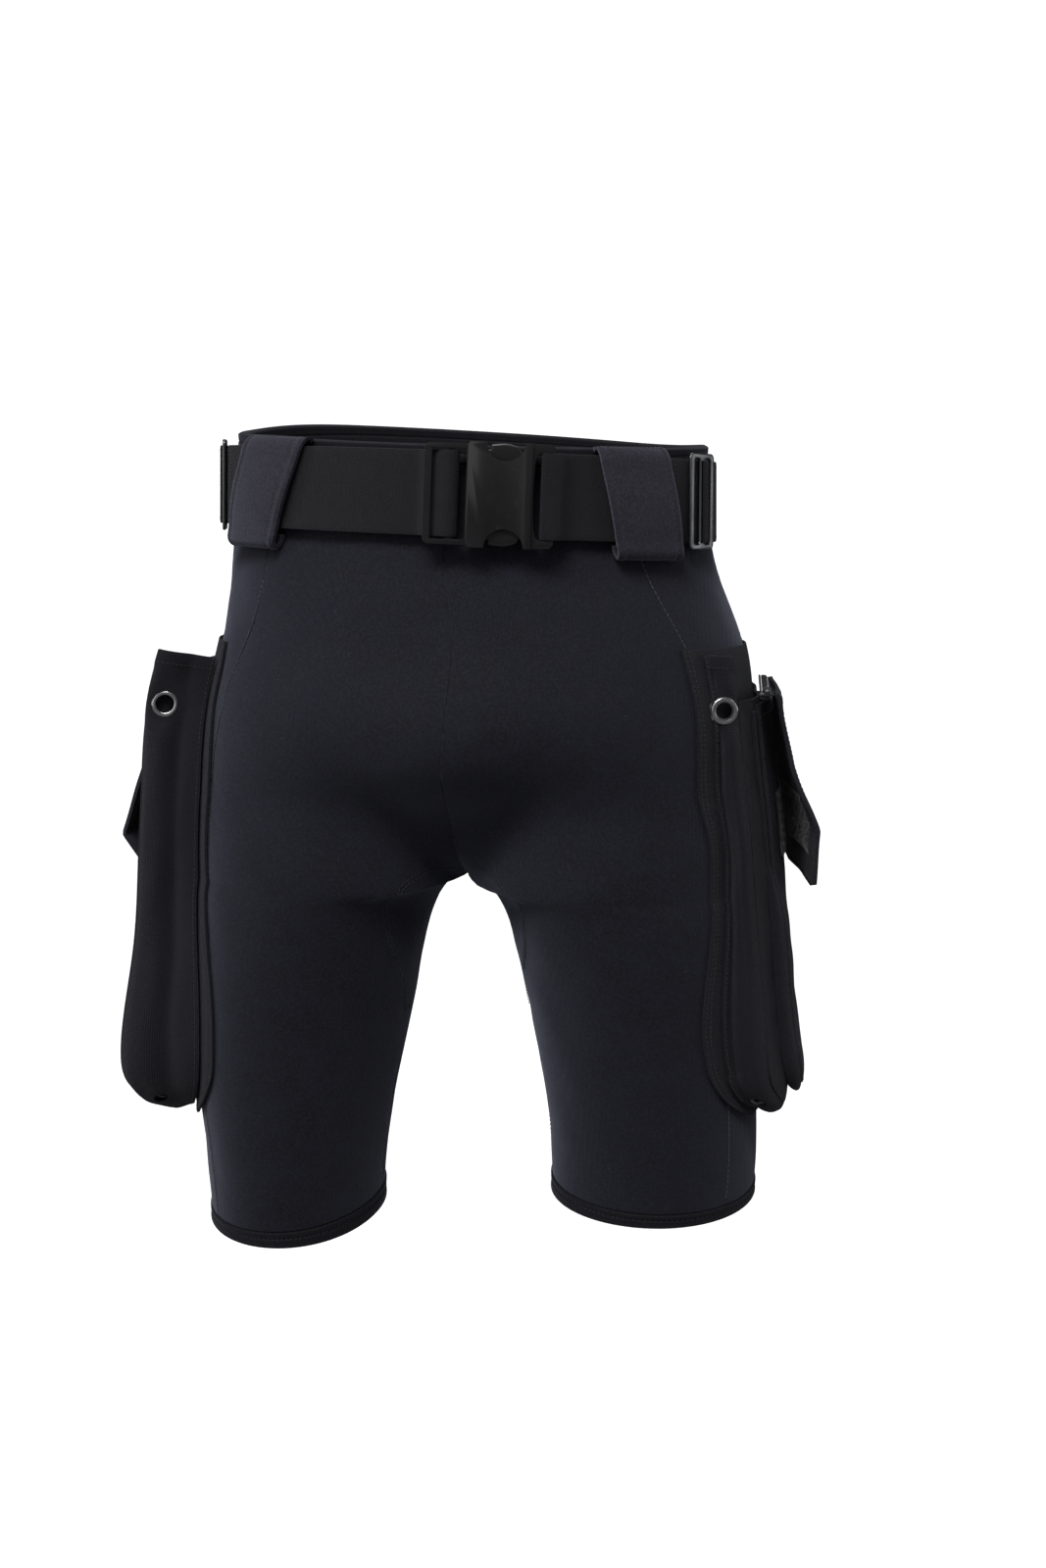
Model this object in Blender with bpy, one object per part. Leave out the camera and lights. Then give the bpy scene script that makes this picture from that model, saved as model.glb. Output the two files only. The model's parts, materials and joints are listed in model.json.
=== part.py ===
"""Neoprene dive shorts with a threaded webbing weight belt and two thigh weight pockets.

Metres, +Z up, the front faces -Y, +X is the wearer's left.
Modelled about the centre of the belt ring, then moved so that the origin is the centre of the
underside of the bounding box.
"""
import math

import bmesh
import bpy
import numpy as np
from mathutils import Matrix, Vector

# ---------------------------------------------------------------- driving dimensions
NEO_T = 0.0030          # neoprene thickness
WEB_W = 0.050           # belt webbing width
WEB_T = 0.0016          # belt webbing thickness
FAB_T = 0.0012          # pocket fabric thickness
GAP = 0.0004            # clearance left between neighbouring solids
Z_CROTCH = -0.240       # lowest point of the crotch
Z_HEM = -0.445          # leg hem
Z_SPLIT = -0.100        # where the two halves start to turn into legs
WAIST_TILT = -0.036     # slope of the waist across the body
LEG_DROP, LEG_STEP = -0.0030, 0.0150   # how far the hems hang below level, and half the difference between them
BELT_A, BELT_B = 0.1540, 0.1045   # inner half width and half depth of the belt ring
BUCKLE_X = 0.0266       # where the buckle sits along the front
PKT_TOP, PKT_BOT = -0.104, -0.378  # pocket top and bottom
PKT_YF, PKT_YB = -0.056, 0.080     # pocket front and back walls


# ---------------------------------------------------------------- clear the scene
for o in list(bpy.data.objects):
    bpy.data.objects.remove(o, do_unlink=True)


# ---------------------------------------------------------------- materials
def material(name, rgb, rough, metal=0.0):
    m = bpy.data.materials.new(name)
    m.use_nodes = True
    b = m.node_tree.nodes["Principled BSDF"]
    b.inputs["Base Color"].default_value = (*rgb, 1)
    b.inputs["Roughness"].default_value = rough
    b.inputs["Metallic"].default_value = metal
    return m


NEO = material("neoprene", (0.013, 0.014, 0.018), 0.85)
NEO_EDGE = material("neoprene_band", (0.012, 0.013, 0.016), 0.85)
WEB = material("webbing", (0.012, 0.012, 0.014), 0.7)
FAB = material("pocket_fabric", (0.013, 0.013, 0.016), 0.8)
TAPE = material("binding", (0.010, 0.010, 0.012), 0.85)
PLASTIC = material("buckle_plastic", (0.012, 0.012, 0.013), 0.35)
METAL = material("plated_metal", (0.55, 0.55, 0.56), 0.25, 1.0)
DARKMETAL = material("dark_metal", (0.12, 0.12, 0.125), 0.3, 1.0)
HOOK = material("hook_and_loop", (0.010, 0.010, 0.011), 0.95)


# ---------------------------------------------------------------- curves through tables
def spline(xs, ys):
    """Natural cubic spline through a table, as a function of arrays."""
    xs, ys = np.array(xs, float), np.array(ys, float)
    n = len(xs)
    h = np.diff(xs)
    A = np.zeros((n, n))
    r = np.zeros(n)
    A[0, 0] = A[-1, -1] = 1
    for i in range(1, n - 1):
        A[i, i - 1], A[i, i], A[i, i + 1] = h[i - 1], 2 * (h[i - 1] + h[i]), h[i]
        r[i] = 6 * ((ys[i + 1] - ys[i]) / h[i] - (ys[i] - ys[i - 1]) / h[i - 1])
    M = np.linalg.solve(A, r)

    def f(x):
        x = np.clip(np.asarray(x, float), xs[0], xs[-1])
        i = np.clip(np.searchsorted(xs, x) - 1, 0, n - 2)
        d0, d1, hh = x - xs[i], xs[i + 1] - x, h[i]
        return (M[i] * d1**3 + M[i + 1] * d0**3) / (6 * hh) + (ys[i] / hh - M[i] * hh / 6) * d1 + (ys[i + 1] / hh - M[i + 1] * hh / 6) * d0

    return f


# the body's cross-section: half width, half depth in front and behind (outer face of the neoprene)
ZT = [-0.26, -0.24, -0.19, -0.14, -0.098, -0.068, -0.042, 0.0, 0.045]
f_a = spline(ZT, [0.176, 0.1755, 0.174, 0.1725, 0.1672, 0.1602, 0.1547, 0.1510, 0.1490])
f_bf = spline(ZT, [0.094, 0.096, 0.104, 0.109, 0.109, 0.1065, 0.1028, 0.1000, 0.098])
f_bb = spline(ZT, [0.104, 0.108, 0.117, 0.121, 0.117, 0.1095, 0.1030, 0.1000, 0.098])
# the legs: inner line, outer line, half depth
ZL = [-0.46, -0.44, -0.405, -0.36, -0.31, -0.275, -0.24, -0.20]
f_out = spline(ZL, [0.1725, 0.1742, 0.177, 0.1785, 0.1785, 0.1772, 0.1755, 0.174])
f_hf = spline(ZL, [0.068, 0.069, 0.073, 0.078, 0.084, 0.089, 0.094, 0.100])
f_hb = spline(ZL, [0.070, 0.072, 0.078, 0.085, 0.092, 0.099, 0.106, 0.112])
f_in = spline([0, 0.0548, 0.10, 0.141, 0.187, 0.2646, 0.346, 0.406, 0.47],
              [0, 0.0095, 0.0168, 0.0222, 0.0275, 0.0360, 0.0455, 0.0515, 0.0535])


def waist_top(t):
    return 0.0285 + 0.014 * (1 - np.cos(np.pi * t)) / 2


def smooth01(x):
    x = np.clip(x, 0, 1)
    return x * x * (3 - 2 * x)




def f_dx(z):
    """Sideways set of the upper hips."""
    return -0.0005 + 0.0065 * smooth01((-z - 0.030) / 0.06) * (1 - smooth01((-z - 0.09) / 0.09))


HEM_DX = ([-0.20, -0.1725, -0.0535, 0.0, 0.0535, 0.1725, 0.20], [0.0072, 0.0070, -0.0044, -0.001, 0.0, 0.0044, 0.0050])


def slope(z):
    """Slope of the garment across the body at height z."""
    return WAIST_TILT * (1 - smooth01(-np.asarray(z, float) / 0.40))


def warp(p):
    """The set of the garment: the waist and the hems are not quite level, and one leg hangs lower."""
    p = np.array(p, float)
    x, y, z = p[..., 0].copy(), p[..., 1].copy(), p[..., 2].copy()
    leg = np.clip((-z - 0.12) / 0.325, 0, 1.3) ** 2
    p[..., 2] += x * slope(z) + leg * (LEG_DROP + LEG_STEP * x / np.sqrt(x * x + 0.05**2))
    p[..., 2] -= 0.030 * x * smooth01(y / 0.08) * smooth01((z - 0.027) / 0.012)
    p[..., 0] += f_dx(z) + smooth01((-z - 0.33) / 0.10) * np.interp(x, *HEM_DX)
    return p


# k runs down the garment: 0 waist edge, 1 start of the split, 2 crotch, 3 hem
def body_point(k, t):
    """A point of the neoprene's outer face, for the +X half. k and t are arrays."""
    k, t = np.broadcast_arrays(np.asarray(k, float), np.asarray(t, float))
    m = np.clip(np.sin(np.pi * t), 0, 1)
    # upper part
    z1 = waist_top(t) + (Z_SPLIT - waist_top(t)) * np.clip(k, 0, 1)
    # split part
    kap = np.clip(k - 1, 0, 1)
    zs = Z_SPLIT + (Z_CROTCH - Z_SPLIT) * ((1 - m) * np.sin(kap * np.pi / 2) + m * kap)
    # leg part
    lam = np.clip(k - 2, 0, 1)
    zl = Z_CROTCH + (Z_HEM - Z_CROTCH) * ((1 - m) * lam**1.45 + m * lam)
    z = np.where(k <= 1, z1, np.where(k <= 2, zs, zl))
    mb = smooth01(np.minimum(t, 1 - t) / 0.17)
    beta = (1 - mb) * (1 - np.cos(kap * np.pi / 2)) + mb * smooth01(kap)
    c, s_ = np.cos(np.pi * t), np.sin(np.pi * t)
    xt = f_a(z) * s_
    yt = -np.where(c > 0, f_bf(z), f_bb(z)) * c
    xi = f_in(np.sqrt(np.clip(Z_CROTCH - z, 0, None)))
    xo = f_out(z)
    cx, w = (xi + xo) / 2, (xo - xi) / 2
    c2, s2 = np.cos(2 * np.pi * t), np.sin(2 * np.pi * t)
    q = 1.0
    xl = cx - w * np.sign(c2) * np.abs(c2) ** q
    yl = -np.where(s2 > 0, f_hf(z), f_hb(z)) * np.sign(s2) * np.abs(s2) ** q
    x = (1 - beta) * xt + beta * xl
    y = (1 - beta) * yt + beta * yl + 0.003
    # fullness at the lower front, and behind
    front = np.clip(np.cos(np.pi * t), 0, 1) ** 1.5
    y = y - 0.017 * (1 - beta) * front * np.exp(-((z + 0.150) / 0.043) ** 2)
    back = np.clip(-np.cos(np.pi * t + 0.35), 0, 1)
    y = y + 0.008 * (1 - beta) * back * np.exp(-((z + 0.150) / 0.06) ** 2)
    return np.stack([x, y, z], -1)


class Surface:
    """The neoprene's outer face as a fine table of points and normals over (k, t) for the +X half."""

    def __init__(self, nk=150, nt=192):
        self.nk, self.nt = nk, nt
        self.ks = np.linspace(0, 3, nk + 1)
        self.ts = np.linspace(0, 1, nt + 1)
        K, T = np.meshgrid(self.ks, self.ts, indexing="ij")
        P = body_point(K, T)
        E = np.zeros((nk + 1, nt + 3, 3))
        E[:, 1:-1] = P
        leg = self.ks > 2 - 1e-9
        mir = np.array([-1.0, 1, 1])
        E[~leg, 0], E[~leg, -1] = P[~leg, 1] * mir, P[~leg, -2] * mir
        E[leg, 0], E[leg, -1] = P[leg, -2], P[leg, 1]
        dt = E[:, 2:] - E[:, :-2]
        dk = np.gradient(P, axis=0)
        N = np.cross(dk, dt)
        L = np.linalg.norm(N, axis=-1, keepdims=True)
        tip = np.array([0, 0, -1.0])
        d = np.linalg.norm(P - np.array([0, 0, Z_CROTCH]), axis=-1, keepdims=True)
        w = np.exp(-((d / 0.012) ** 2))
        N = np.where(L > 1e-12, N / np.maximum(L, 1e-12), tip) * (1 - w) + tip * w
        # the front of the +X half faces -Y: point the normals out
        for _ in range(6):
            F = np.zeros((nk + 1, nt + 3, 3))
            F[:, 1:-1] = N
            F[~leg, 0], F[~leg, -1] = N[~leg, 1] * mir, N[~leg, -2] * mir
            F[leg, 0], F[leg, -1] = N[leg, -2], N[leg, 1]
            M = (F[:, :-2] + 2 * F[:, 1:-1] + F[:, 2:]) / 4
            G = np.concatenate([M[:1], M, M[-1:]])
            N = (G[:-2] + 2 * G[1:-1] + G[2:]) / 4
            N /= np.maximum(np.linalg.norm(N, axis=-1, keepdims=True), 1e-9)
        self.P, self.N = P, N

    def at(self, side, k, t, off=0.0):
        """Points at (k, t), moved out by off; side +1 is the wearer's left."""
        k, t, off = np.broadcast_arrays(np.asarray(k, float), np.asarray(t, float), np.asarray(off, float))
        leg = k >= 2 - 1e-9
        t = np.where(leg, t % 1.0, t)
        i = np.clip(k / 3 * self.nk, 0, self.nk - 1e-9)
        j = np.clip(t * self.nt, 0, self.nt - 1e-9)
        i0, j0 = i.astype(int), j.astype(int)
        fi, fj = (i - i0)[..., None], (j - j0)[..., None]

        def mix(A):
            return (A[i0, j0] * (1 - fi) * (1 - fj) + A[i0 + 1, j0] * fi * (1 - fj)
                    + A[i0, j0 + 1] * (1 - fi) * fj + A[i0 + 1, j0 + 1] * fi * fj)

        n = mix(self.N)
        n = n / np.maximum(np.linalg.norm(n, axis=-1, keepdims=True), 1e-9)
        p = mix(self.P) + n * off[..., None]
        return p * np.array([side, 1.0, 1.0])


SURF = Surface()


# ---------------------------------------------------------------- mesh helpers
def make(name, verts, faces, mat, smooth=40.0, do_warp=True, scale_mm=False):
    v = np.asarray(verts, float)
    if scale_mm:
        v = v / 1000.0
    if do_warp:
        v = warp(v)
    me = bpy.data.meshes.new(name)
    me.from_pydata([tuple(p) for p in v], [], [tuple(int(i) for i in f) for f in faces])
    bm = bmesh.new()
    bm.from_mesh(me)
    bmesh.ops.recalc_face_normals(bm, faces=bm.faces)
    vol = bm.calc_volume(signed=True)
    if vol < 0:
        bmesh.ops.reverse_faces(bm, faces=bm.faces)
    bm.to_mesh(me)
    bm.free()
    me.materials.append(mat)
    me.shade_smooth()
    me.set_sharp_from_angle(angle=math.radians(smooth))
    ob = bpy.data.objects.new(name, me)
    bpy.context.scene.collection.objects.link(ob)
    return ob


def slab(name, outer, inner, mat, wrap_u=False, wrap_v=False, **kw):
    """A closed sheet between two grids of points (nu, nv, 3)."""
    outer, inner = np.asarray(outer, float), np.asarray(inner, float)
    nu, nv = outer.shape[:2]
    n = nu * nv
    idx = np.arange(n).reshape(nu, nv)
    verts = np.concatenate([outer.reshape(-1, 3), inner.reshape(-1, 3)])
    faces = []
    iu = nu if wrap_u else nu - 1
    iv = nv if wrap_v else nv - 1
    for i in range(iu):
        for j in range(iv):
            a, b = idx[i, j], idx[(i + 1) % nu, j]
            c, d = idx[(i + 1) % nu, (j + 1) % nv], idx[i, (j + 1) % nv]
            faces.append((a, b, c, d))
            faces.append((d + n, c + n, b + n, a + n))
    if not wrap_u:
        for j in range(iv):
            a, b = idx[0, j], idx[0, (j + 1) % nv]
            faces.append((a, b, b + n, a + n))
            a, b = idx[-1, j], idx[-1, (j + 1) % nv]
            faces.append((b, a, a + n, b + n))
    if not wrap_v:
        for i in range(iu):
            a, b = idx[i, 0], idx[(i + 1) % nu, 0]
            faces.append((b, a, a + n, b + n))
            a, b = idx[i, -1], idx[(i + 1) % nu, -1]
            faces.append((a, b, b + n, a + n))
    return make(name, verts, faces, mat, **kw)


# ---------------------------------------------------------------- neoprene panels
KW = 0.088      # the waistband ends here
KH = 2.960      # the hem band starts here
ROWS = [KW + 0.004, 0.34, 0.53, 0.75, 1.0, 1.30, 1.56, 1.79, 1.90, 2.0, 2.09, 2.18, 2.30, 2.41, 2.53, 2.69, 2.84, KH - 0.002]
G0, G1 = 7, 14  # the crotch gusset spans these rows

f_tg = spline([1.79, 1.90, 2.0, 2.09, 2.18, 2.30, 2.41, 2.53],
              [0.066, 0.122, 0.139, 0.128, 0.112, 0.087, 0.054, 0.028])
f_ts = spline([0, 0.5, 1.0, 1.5, 2.0, 2.5, 3.0], [0.236, 0.262, 0.306, 0.342, 0.366, 0.383, 0.379])


def columns(k):
    """Column positions t for one row: seam lines fall on columns 1, 5, 11 and the ends."""
    g, s = float(f_tg(k)), float(f_ts(k))
    a = [0.0, g] + [g + (s - g) * i / 4 for i in (1, 2, 3)] + [s]
    b = [s + (1 - g - s) * i for i in (0.12, 0.25, 0.40, 0.58, 0.79)] + [1 - g, 1.0]
    return a + b


TC = np.array([columns(k) for k in ROWS])
NC = TC.shape[1] - 1


def panel(name, sides, cell, mat=NEO, off_out=0.0, off_in=-NEO_T, inset=0.0005):
    """One neoprene panel: the cells for which cell(row, column) is true, as a closed sheet held back a little at its rim."""
    spots, ends, lean, faces, index = [], [], [], [], {}
    for side in sides:
        for i in range(len(ROWS) - 1):
            for j in range(NC):
                if not cell(i, j):
                    continue
                f = []
                for a, b, sk, st in ((i, j, 1, 1), (i + 1, j, -1, 1), (i + 1, j + 1, -1, -1), (i, j + 1, 1, -1)):
                    p = SURF.at(side, ROWS[a], TC[a, b])
                    key = tuple(np.round(p, 6) + 0.0)
                    if key not in index:
                        index[key] = len(spots)
                        spots.append((side, ROWS[a], TC[a, b]))
                        ends.append(set())
                        lean.append([0, 0])
                    v = index[key]
                    ends[v].add((side, b in (0, NC) and b))
                    lean[v][0] += sk
                    lean[v][1] += st
                    f.append(v)
                faces.append(f if side > 0 else f[::-1])
    use = {}
    for f in faces:
        for a, b in zip(f, f[1:] + f[:1]):
            use.setdefault(frozenset((a, b)), []).append((a, b))
    rim = [e[0] for e in use.values() if len(e) == 1]
    rim_v = {v for e in rim for v in e}
    verts = [[], []]
    for v, (side, k, t) in enumerate(spots):
        if v in rim_v:
            e = 0.004
            pk = np.linalg.norm(SURF.at(side, min(k + e, 3), t) - SURF.at(side, max(k - e, 0), t)) / (2 * e)
            pt = np.linalg.norm(SURF.at(side, k, min(t + e, 1)) - SURF.at(side, k, max(t - e, 0))) / ((min(t + e, 1) - max(t - e, 0)))
            sk, st = np.sign(lean[v][0]), np.sign(lean[v][1])
            if len(ends[v]) > 1:
                st = 0
            k, t = k + sk * inset / max(pk, 0.02), min(max(t + st * inset / max(pt, 0.02), 0.0), 1.0)
        for layer, off in enumerate((off_out, off_in)):
            p = SURF.at(side, k, t, off)
            if len(ends[v]) > 1 and k <= 2 + 1e-9:
                p[0] = 0.0
            verts[layer].append(p)
    pts = np.array(verts[0])
    tris = []
    for a, b, c, d in faces:
        if np.linalg.norm(pts[a] - pts[c]) < np.linalg.norm(pts[b] - pts[d]):
            tris += [[a, b, c], [a, c, d]]
        else:
            tris += [[a, b, d], [b, c, d]]
    n = len(pts)
    verts = np.concatenate([verts[0], verts[1]])
    out = [tuple(f) for f in tris] + [tuple(v + n for v in f[::-1]) for f in tris]
    for a, b in rim:
        if np.linalg.norm(verts[b] - verts[a + n]) < np.linalg.norm(verts[a] - verts[b + n]):
            out += [(b, a, a + n), (b, a + n, b + n)]
        else:
            out += [(b, a, b + n), (a, a + n, b + n)]
    return make(name, verts, out, mat, smooth=50)


def in_gusset(i, j):
    return G0 <= i < G1 and (j == 0 or j == NC - 1)


for tag, side in (("l", 1), ("r", -1)):
    panel(f"front_panel_{tag}", [side], lambda i, j: j < 5 and not in_gusset(i, j))
    panel(f"back_panel_{tag}", [side], lambda i, j: j >= 5 and not in_gusset(i, j))
panel("crotch_gusset", [1, -1], in_gusset)


def around(n):
    """n places around the whole waist: (side, t)."""
    out = []
    for i in range(n):
        u = i / n
        out.append((1, 2 * u) if u < 0.5 else (-1, 2 - 2 * u))
    return out


def ring(name, places, ks, off_out, off_in, mat):
    o = np.array([[SURF.at(s, k, t, off_out) for k in ks] for s, t in places])
    i = np.array([[SURF.at(s, k, t, off_in) for k in ks] for s, t in places])
    return slab(name, o, i, mat, wrap_u=True)


ring("waistband", around(56), [0.0, KW / 2, KW], 0.0006, -NEO_T - 0.0006, NEO_EDGE)
for tag, side in (("l", 1), ("r", -1)):
    ring(f"hem_band_{tag}", [(side, i / 32) for i in range(32)], [KH, 3.0], 0.0006, -NEO_T - 0.0006, NEO_EDGE)


# ---------------------------------------------------------------- belt loops
def k_at(z, t):
    zt = waist_top(t)
    return (z - zt) / (Z_SPLIT - zt)


# (distance outside the neoprene, height): the loop's middle, from its top seam over the belt to its turned-up lower end
LOOP = [(0.0030, 0.0275), (0.0066, 0.0298), (0.0104, 0.0275), (0.0122, 0.0190), (0.0128, 0.0060), (0.0128, -0.0080),
        (0.0116, -0.0210), (0.0100, -0.0320), (0.0076, -0.0395), (0.0050, -0.0405), (0.0030, -0.0380), (0.0030, -0.0320)]
LOOP_T = 0.0025


def loop(name, side, tc, half=0.0235, extra=0.0, lean=0.0):
    prof = np.array(LOOP) + np.array([extra, 0.0])
    d = np.gradient(prof, axis=0)
    nrm = np.stack([-d[:, 1], d[:, 0]], 1)
    nrm /= np.linalg.norm(nrm, axis=1, keepdims=True)
    scale = float(np.linalg.norm(SURF.at(1, 0.3, tc) - SURF.at(1, 0.3, tc - 0.01))) / 0.01
    us = np.linspace(-half / scale, half / scale, 6)
    grids = []
    for pr in (prof + nrm * LOOP_T / 2, prof - nrm * LOOP_T / 2):
        g = []
        for rho, z in pr:
            row = []
            for u in us:
                s, t = side, tc + u - lean * z
                if t > 1:
                    s, t = -side, 2 - t
                row.append(SURF.at(s, np.clip(k_at(z, t), 0.0, 1), t, rho))
            g.append(row)
        grids.append(np.array(g))
    return slab(name, grids[0], grids[1], NEO_EDGE, smooth=60)


loop("belt_loop_front_l", 1, 0.2565, half=0.0215, lean=0.41)
loop("belt_loop_front_r", -1, 0.262, lean=0.80)
loop("belt_loop_back_l", 1, 0.735)
loop("belt_loop_back_r", -1, 0.735)
loop("belt_loop_back_centre", 1, 1.0, extra=0.0012)


# ---------------------------------------------------------------- the belt's ring
BELT_YC = 0.003


def ellipse(deg):
    """A point of the belt's inner face and its outward direction; deg from the front, + towards +X."""
    a = math.radians(deg)
    p = np.array([BELT_A * math.sin(a), BELT_YC - BELT_B * math.cos(a)])
    n = np.array([math.sin(a) / BELT_A, -math.cos(a) / BELT_B])
    return p, n / np.linalg.norm(n)


def ring_pt(deg, rho):
    p, n = ellipse(deg)
    return p + n * rho


def frame_at(deg):
    """A rigid frame on the belt: X along it (towards +X in front), Y inward, Z up, origin on the belt's inner face."""
    p, n = ellipse(deg)
    o = warp(np.array([p[0], p[1], 0.0]))
    x = Vector((-n[1], n[0], -n[1] * WAIST_TILT)).normalized()
    y = Vector((-n[0], -n[1], 0)).normalized()
    z = x.cross(y).normalized()
    y = z.cross(x).normalized()
    m = Matrix.Identity(4)
    for r in range(3):
        m[r][0], m[r][1], m[r][2], m[r][3] = x[r], y[r], z[r], o[r]
    return m


BUCKLE_DEG = math.degrees(math.asin(BUCKLE_X / BELT_A))
M_B = frame_at(BUCKLE_DEG)
B_P, B_N = ellipse(BUCKLE_DEG)
B_T = np.array([-B_N[1], B_N[0]])


def buckle_xy(x_mm, y_mm):
    """Plan position of a point of the buckle's frame."""
    return B_P + B_T * x_mm / 1000 + B_N * y_mm / 1000


def strap(name, line, mat=WEB, width=WEB_W, thick=WEB_T):
    """A webbing strap: a plan polyline of its middle, given thickness and height."""
    c = np.array(line, float)
    d = np.gradient(c, axis=0)
    d /= np.linalg.norm(d, axis=1, keepdims=True)
    n = np.stack([d[:, 1], -d[:, 0]], 1)
    a, b = c + n * thick / 2, c - n * thick / 2
    zs = [-width / 2, 0.0, width / 2]
    lean = lambda p, z: p[0] - (WAIST_TILT * z * min(1.0, ((p[1] - BELT_YC) / BELT_B) ** 2) if p[1] < BELT_YC else 0.0)
    outer = np.array([[(lean(p, z), p[1], z) for z in zs] for p in a])
    inner = np.array([[(lean(p, z), p[1], z) for z in zs] for p in b])
    return slab(name, outer, inner, mat)


def fold(cx, cy, r, a0, a1, n=9):
    return [buckle_xy(cx + r * math.cos(math.radians(a)), cy + r * math.sin(math.radians(a))) for a in np.linspace(a0, a1, n)]


TRI_L, TRI_R = 68.0, -80.0      # where the two slide adjusters sit, degrees from the front
L1, L2 = WEB_T / 2 + 0.0001, WEB_T * 1.5 + 0.0004   # middle of the inner and outer layers


def tri_xy(deg, x_mm, y_mm):
    p, n = ellipse(deg)
    t = np.array([-n[1], n[0]])
    return p + t * x_mm / 1000 + n * y_mm / 1000


def by_ring(x_mm, rho_mm):
    """A place on the belt line near the buckle, rho outside the ring's inner face."""
    sag = 1000 * (BELT_B - BELT_B * math.cos(math.asin((BUCKLE_X + x_mm / 1000) / BELT_A)))
    return np.array([BUCKLE_X + x_mm / 1000, BELT_YC - BELT_B + sag / 1000 - rho_mm / 1000])


def front_strap(name, tri, s, stop, hair):
    """Doubled webbing between an adjuster and the buckle: round the adjuster's bar, out to the buckle, round its bar, and back."""
    y_fold = [(-0.5 * s, 7.35), (3.6 * s, 7.2), (5.6 * s, 5.0), (5.0 * s, 2.9), (1.0 * s, 2.45)]
    line = [tri_xy(tri, x, y) for x, y in y_fold]
    start = s * tri - 5.5
    n = 14
    out = [ring_pt(s * (start + (stop - start) * i / n), L2) for i in range(n + 1)]
    back = [ring_pt(s * (stop + (start + 12 - stop) * i / n), L1) for i in range(n + 1)]
    return strap(name, line + out + hair + back)


front_strap("belt_webbing_front_l", TRI_L, 1, 29.5, [by_ring(45.0, 5.4), buckle_xy(39.5, 9.2)] + fold(34.6, 6.3, 3.7, 90, 270) + [buckle_xy(39.0, 1.5), by_ring(45.0, 1.1)])
front_strap("belt_webbing_front_r", TRI_R, -1, 7.0, [by_ring(-39.0, 3.5), buckle_xy(-34.5, 3.9), buckle_xy(-31.0, 4.6), buckle_xy(-27.0, 8.3)]
            + fold(-21.8, 5.4, 4.0, 90, -90) + [buckle_xy(-27.0, 1.3), by_ring(-36.0, 1.0)])
# the single layer round the back starts where the doubled webbing ends
FLAT = (149.0, 161.0)   # a flat stretch either side at the back, where a belt weight sits
back_deg = list(np.linspace(TRI_L + 8.0, FLAT[0], 13)) + [FLAT[1], 166.0, 171.0, 176.0]
back_deg = back_deg + [360 - d for d in reversed(list(np.linspace(-TRI_R + 8.0, FLAT[0], 13)) + [FLAT[1], 166.0, 171.0, 176.0])]
strap("belt_webbing_back", [ring_pt(d, L1) for d in back_deg])


# ---------------------------------------------------------------- solid helpers for the hard parts (millimetres in a frame)
def place(ob, m):
    ob.matrix_world = m
    return ob


def bm_to_object(name, bm, mat, m, bevel=0.0, segments=2, angle=35.0, smooth=35.0):
    bmesh.ops.scale(bm, vec=(0.001, -0.001, 0.001), verts=bm.verts)
    bmesh.ops.recalc_face_normals(bm, faces=bm.faces)
    me = bpy.data.meshes.new(name)
    bm.to_mesh(me)
    bm.free()
    me.materials.append(mat)
    me.shade_smooth()
    me.set_sharp_from_angle(angle=math.radians(smooth))
    ob = bpy.data.objects.new(name, me)
    bpy.context.scene.collection.objects.link(ob)
    ob.matrix_world = m
    if bevel:
        b = ob.modifiers.new("soft_edges", "BEVEL")
        b.width, b.segments, b.limit_method = bevel / 1000, segments, "ANGLE"
        b.angle_limit = math.radians(angle)
    return ob


def prism(bm, outline, y0, y1):
    """Extrudes an (x, z) outline from y0 to y1."""
    a = [bm.verts.new((x, y0, z)) for x, z in outline]
    b = [bm.verts.new((x, y1, z)) for x, z in outline]
    bm.faces.new(a)
    bm.faces.new(b[::-1])
    n = len(outline)
    for i in range(n):
        bm.faces.new((a[i], a[(i + 1) % n], b[(i + 1) % n], b[i]))


def box(bm, x0, x1, y0, y1, z0, z1):
    prism(bm, [(x0, z0), (x1, z0), (x1, z1), (x0, z1)], y0, y1)


def cutter(name, bm, m):
    ob = bm_to_object(name, bm, PLASTIC, m)
    ob.hide_render = True
    ob.display_type = "WIRE"
    return ob


def cut(ob, tool, op="DIFFERENCE"):
    b = ob.modifiers.new(op.lower(), "BOOLEAN")
    b.operation, b.object, b.solver = op, tool, "EXACT"


def round_rect(x0, x1, z0, z1, r, n=4):
    out = []
    for cx, cz, a0 in ((x1 - r, z1 - r, 0), (x0 + r, z1 - r, 90), (x0 + r, z0 + r, 180), (x1 - r, z0 + r, 270)):
        out += [(cx + r * math.cos(math.radians(a0 + 90 * i / n)), cz + r * math.sin(math.radians(a0 + 90 * i / n))) for i in range(n + 1)]
    return out


# ---------------------------------------------------------------- buckle, female part
HB = 30.4
bm = bmesh.new()
top = [(-11.9, 28.6), (-10.4, HB), (-1.6, HB)]
top += [(9.8 + 11.4 * math.cos(math.radians(a)), HB + 0.4 - 11.2 * math.sin(math.radians(a))) for a in (178, 160, 140, 120, 100, 80, 60, 40, 20, 2)]
top += [(21.9, HB), (36.2, HB - 0.6), (38.2, HB - 2.6), (38.2, HB - 5.4), (30.5, HB - 5.0), (27.6, HB - 7.4), (26.6, HB - 12.0), (26.0, 0.0)]
female_outline = top + [(x, -z) for x, z in reversed(top[:-1])]
prism(bm, female_outline, 0.8, 13.4)
female = bm_to_object("buckle_female", bm, PLASTIC, M_B)
bm = bmesh.new()
box(bm, -13.0, 22.0, 3.2, 11.0, -27.5, 27.5)
cut(female, cutter("cut_cavity", bm, M_B))
bm = bmesh.new()
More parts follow.
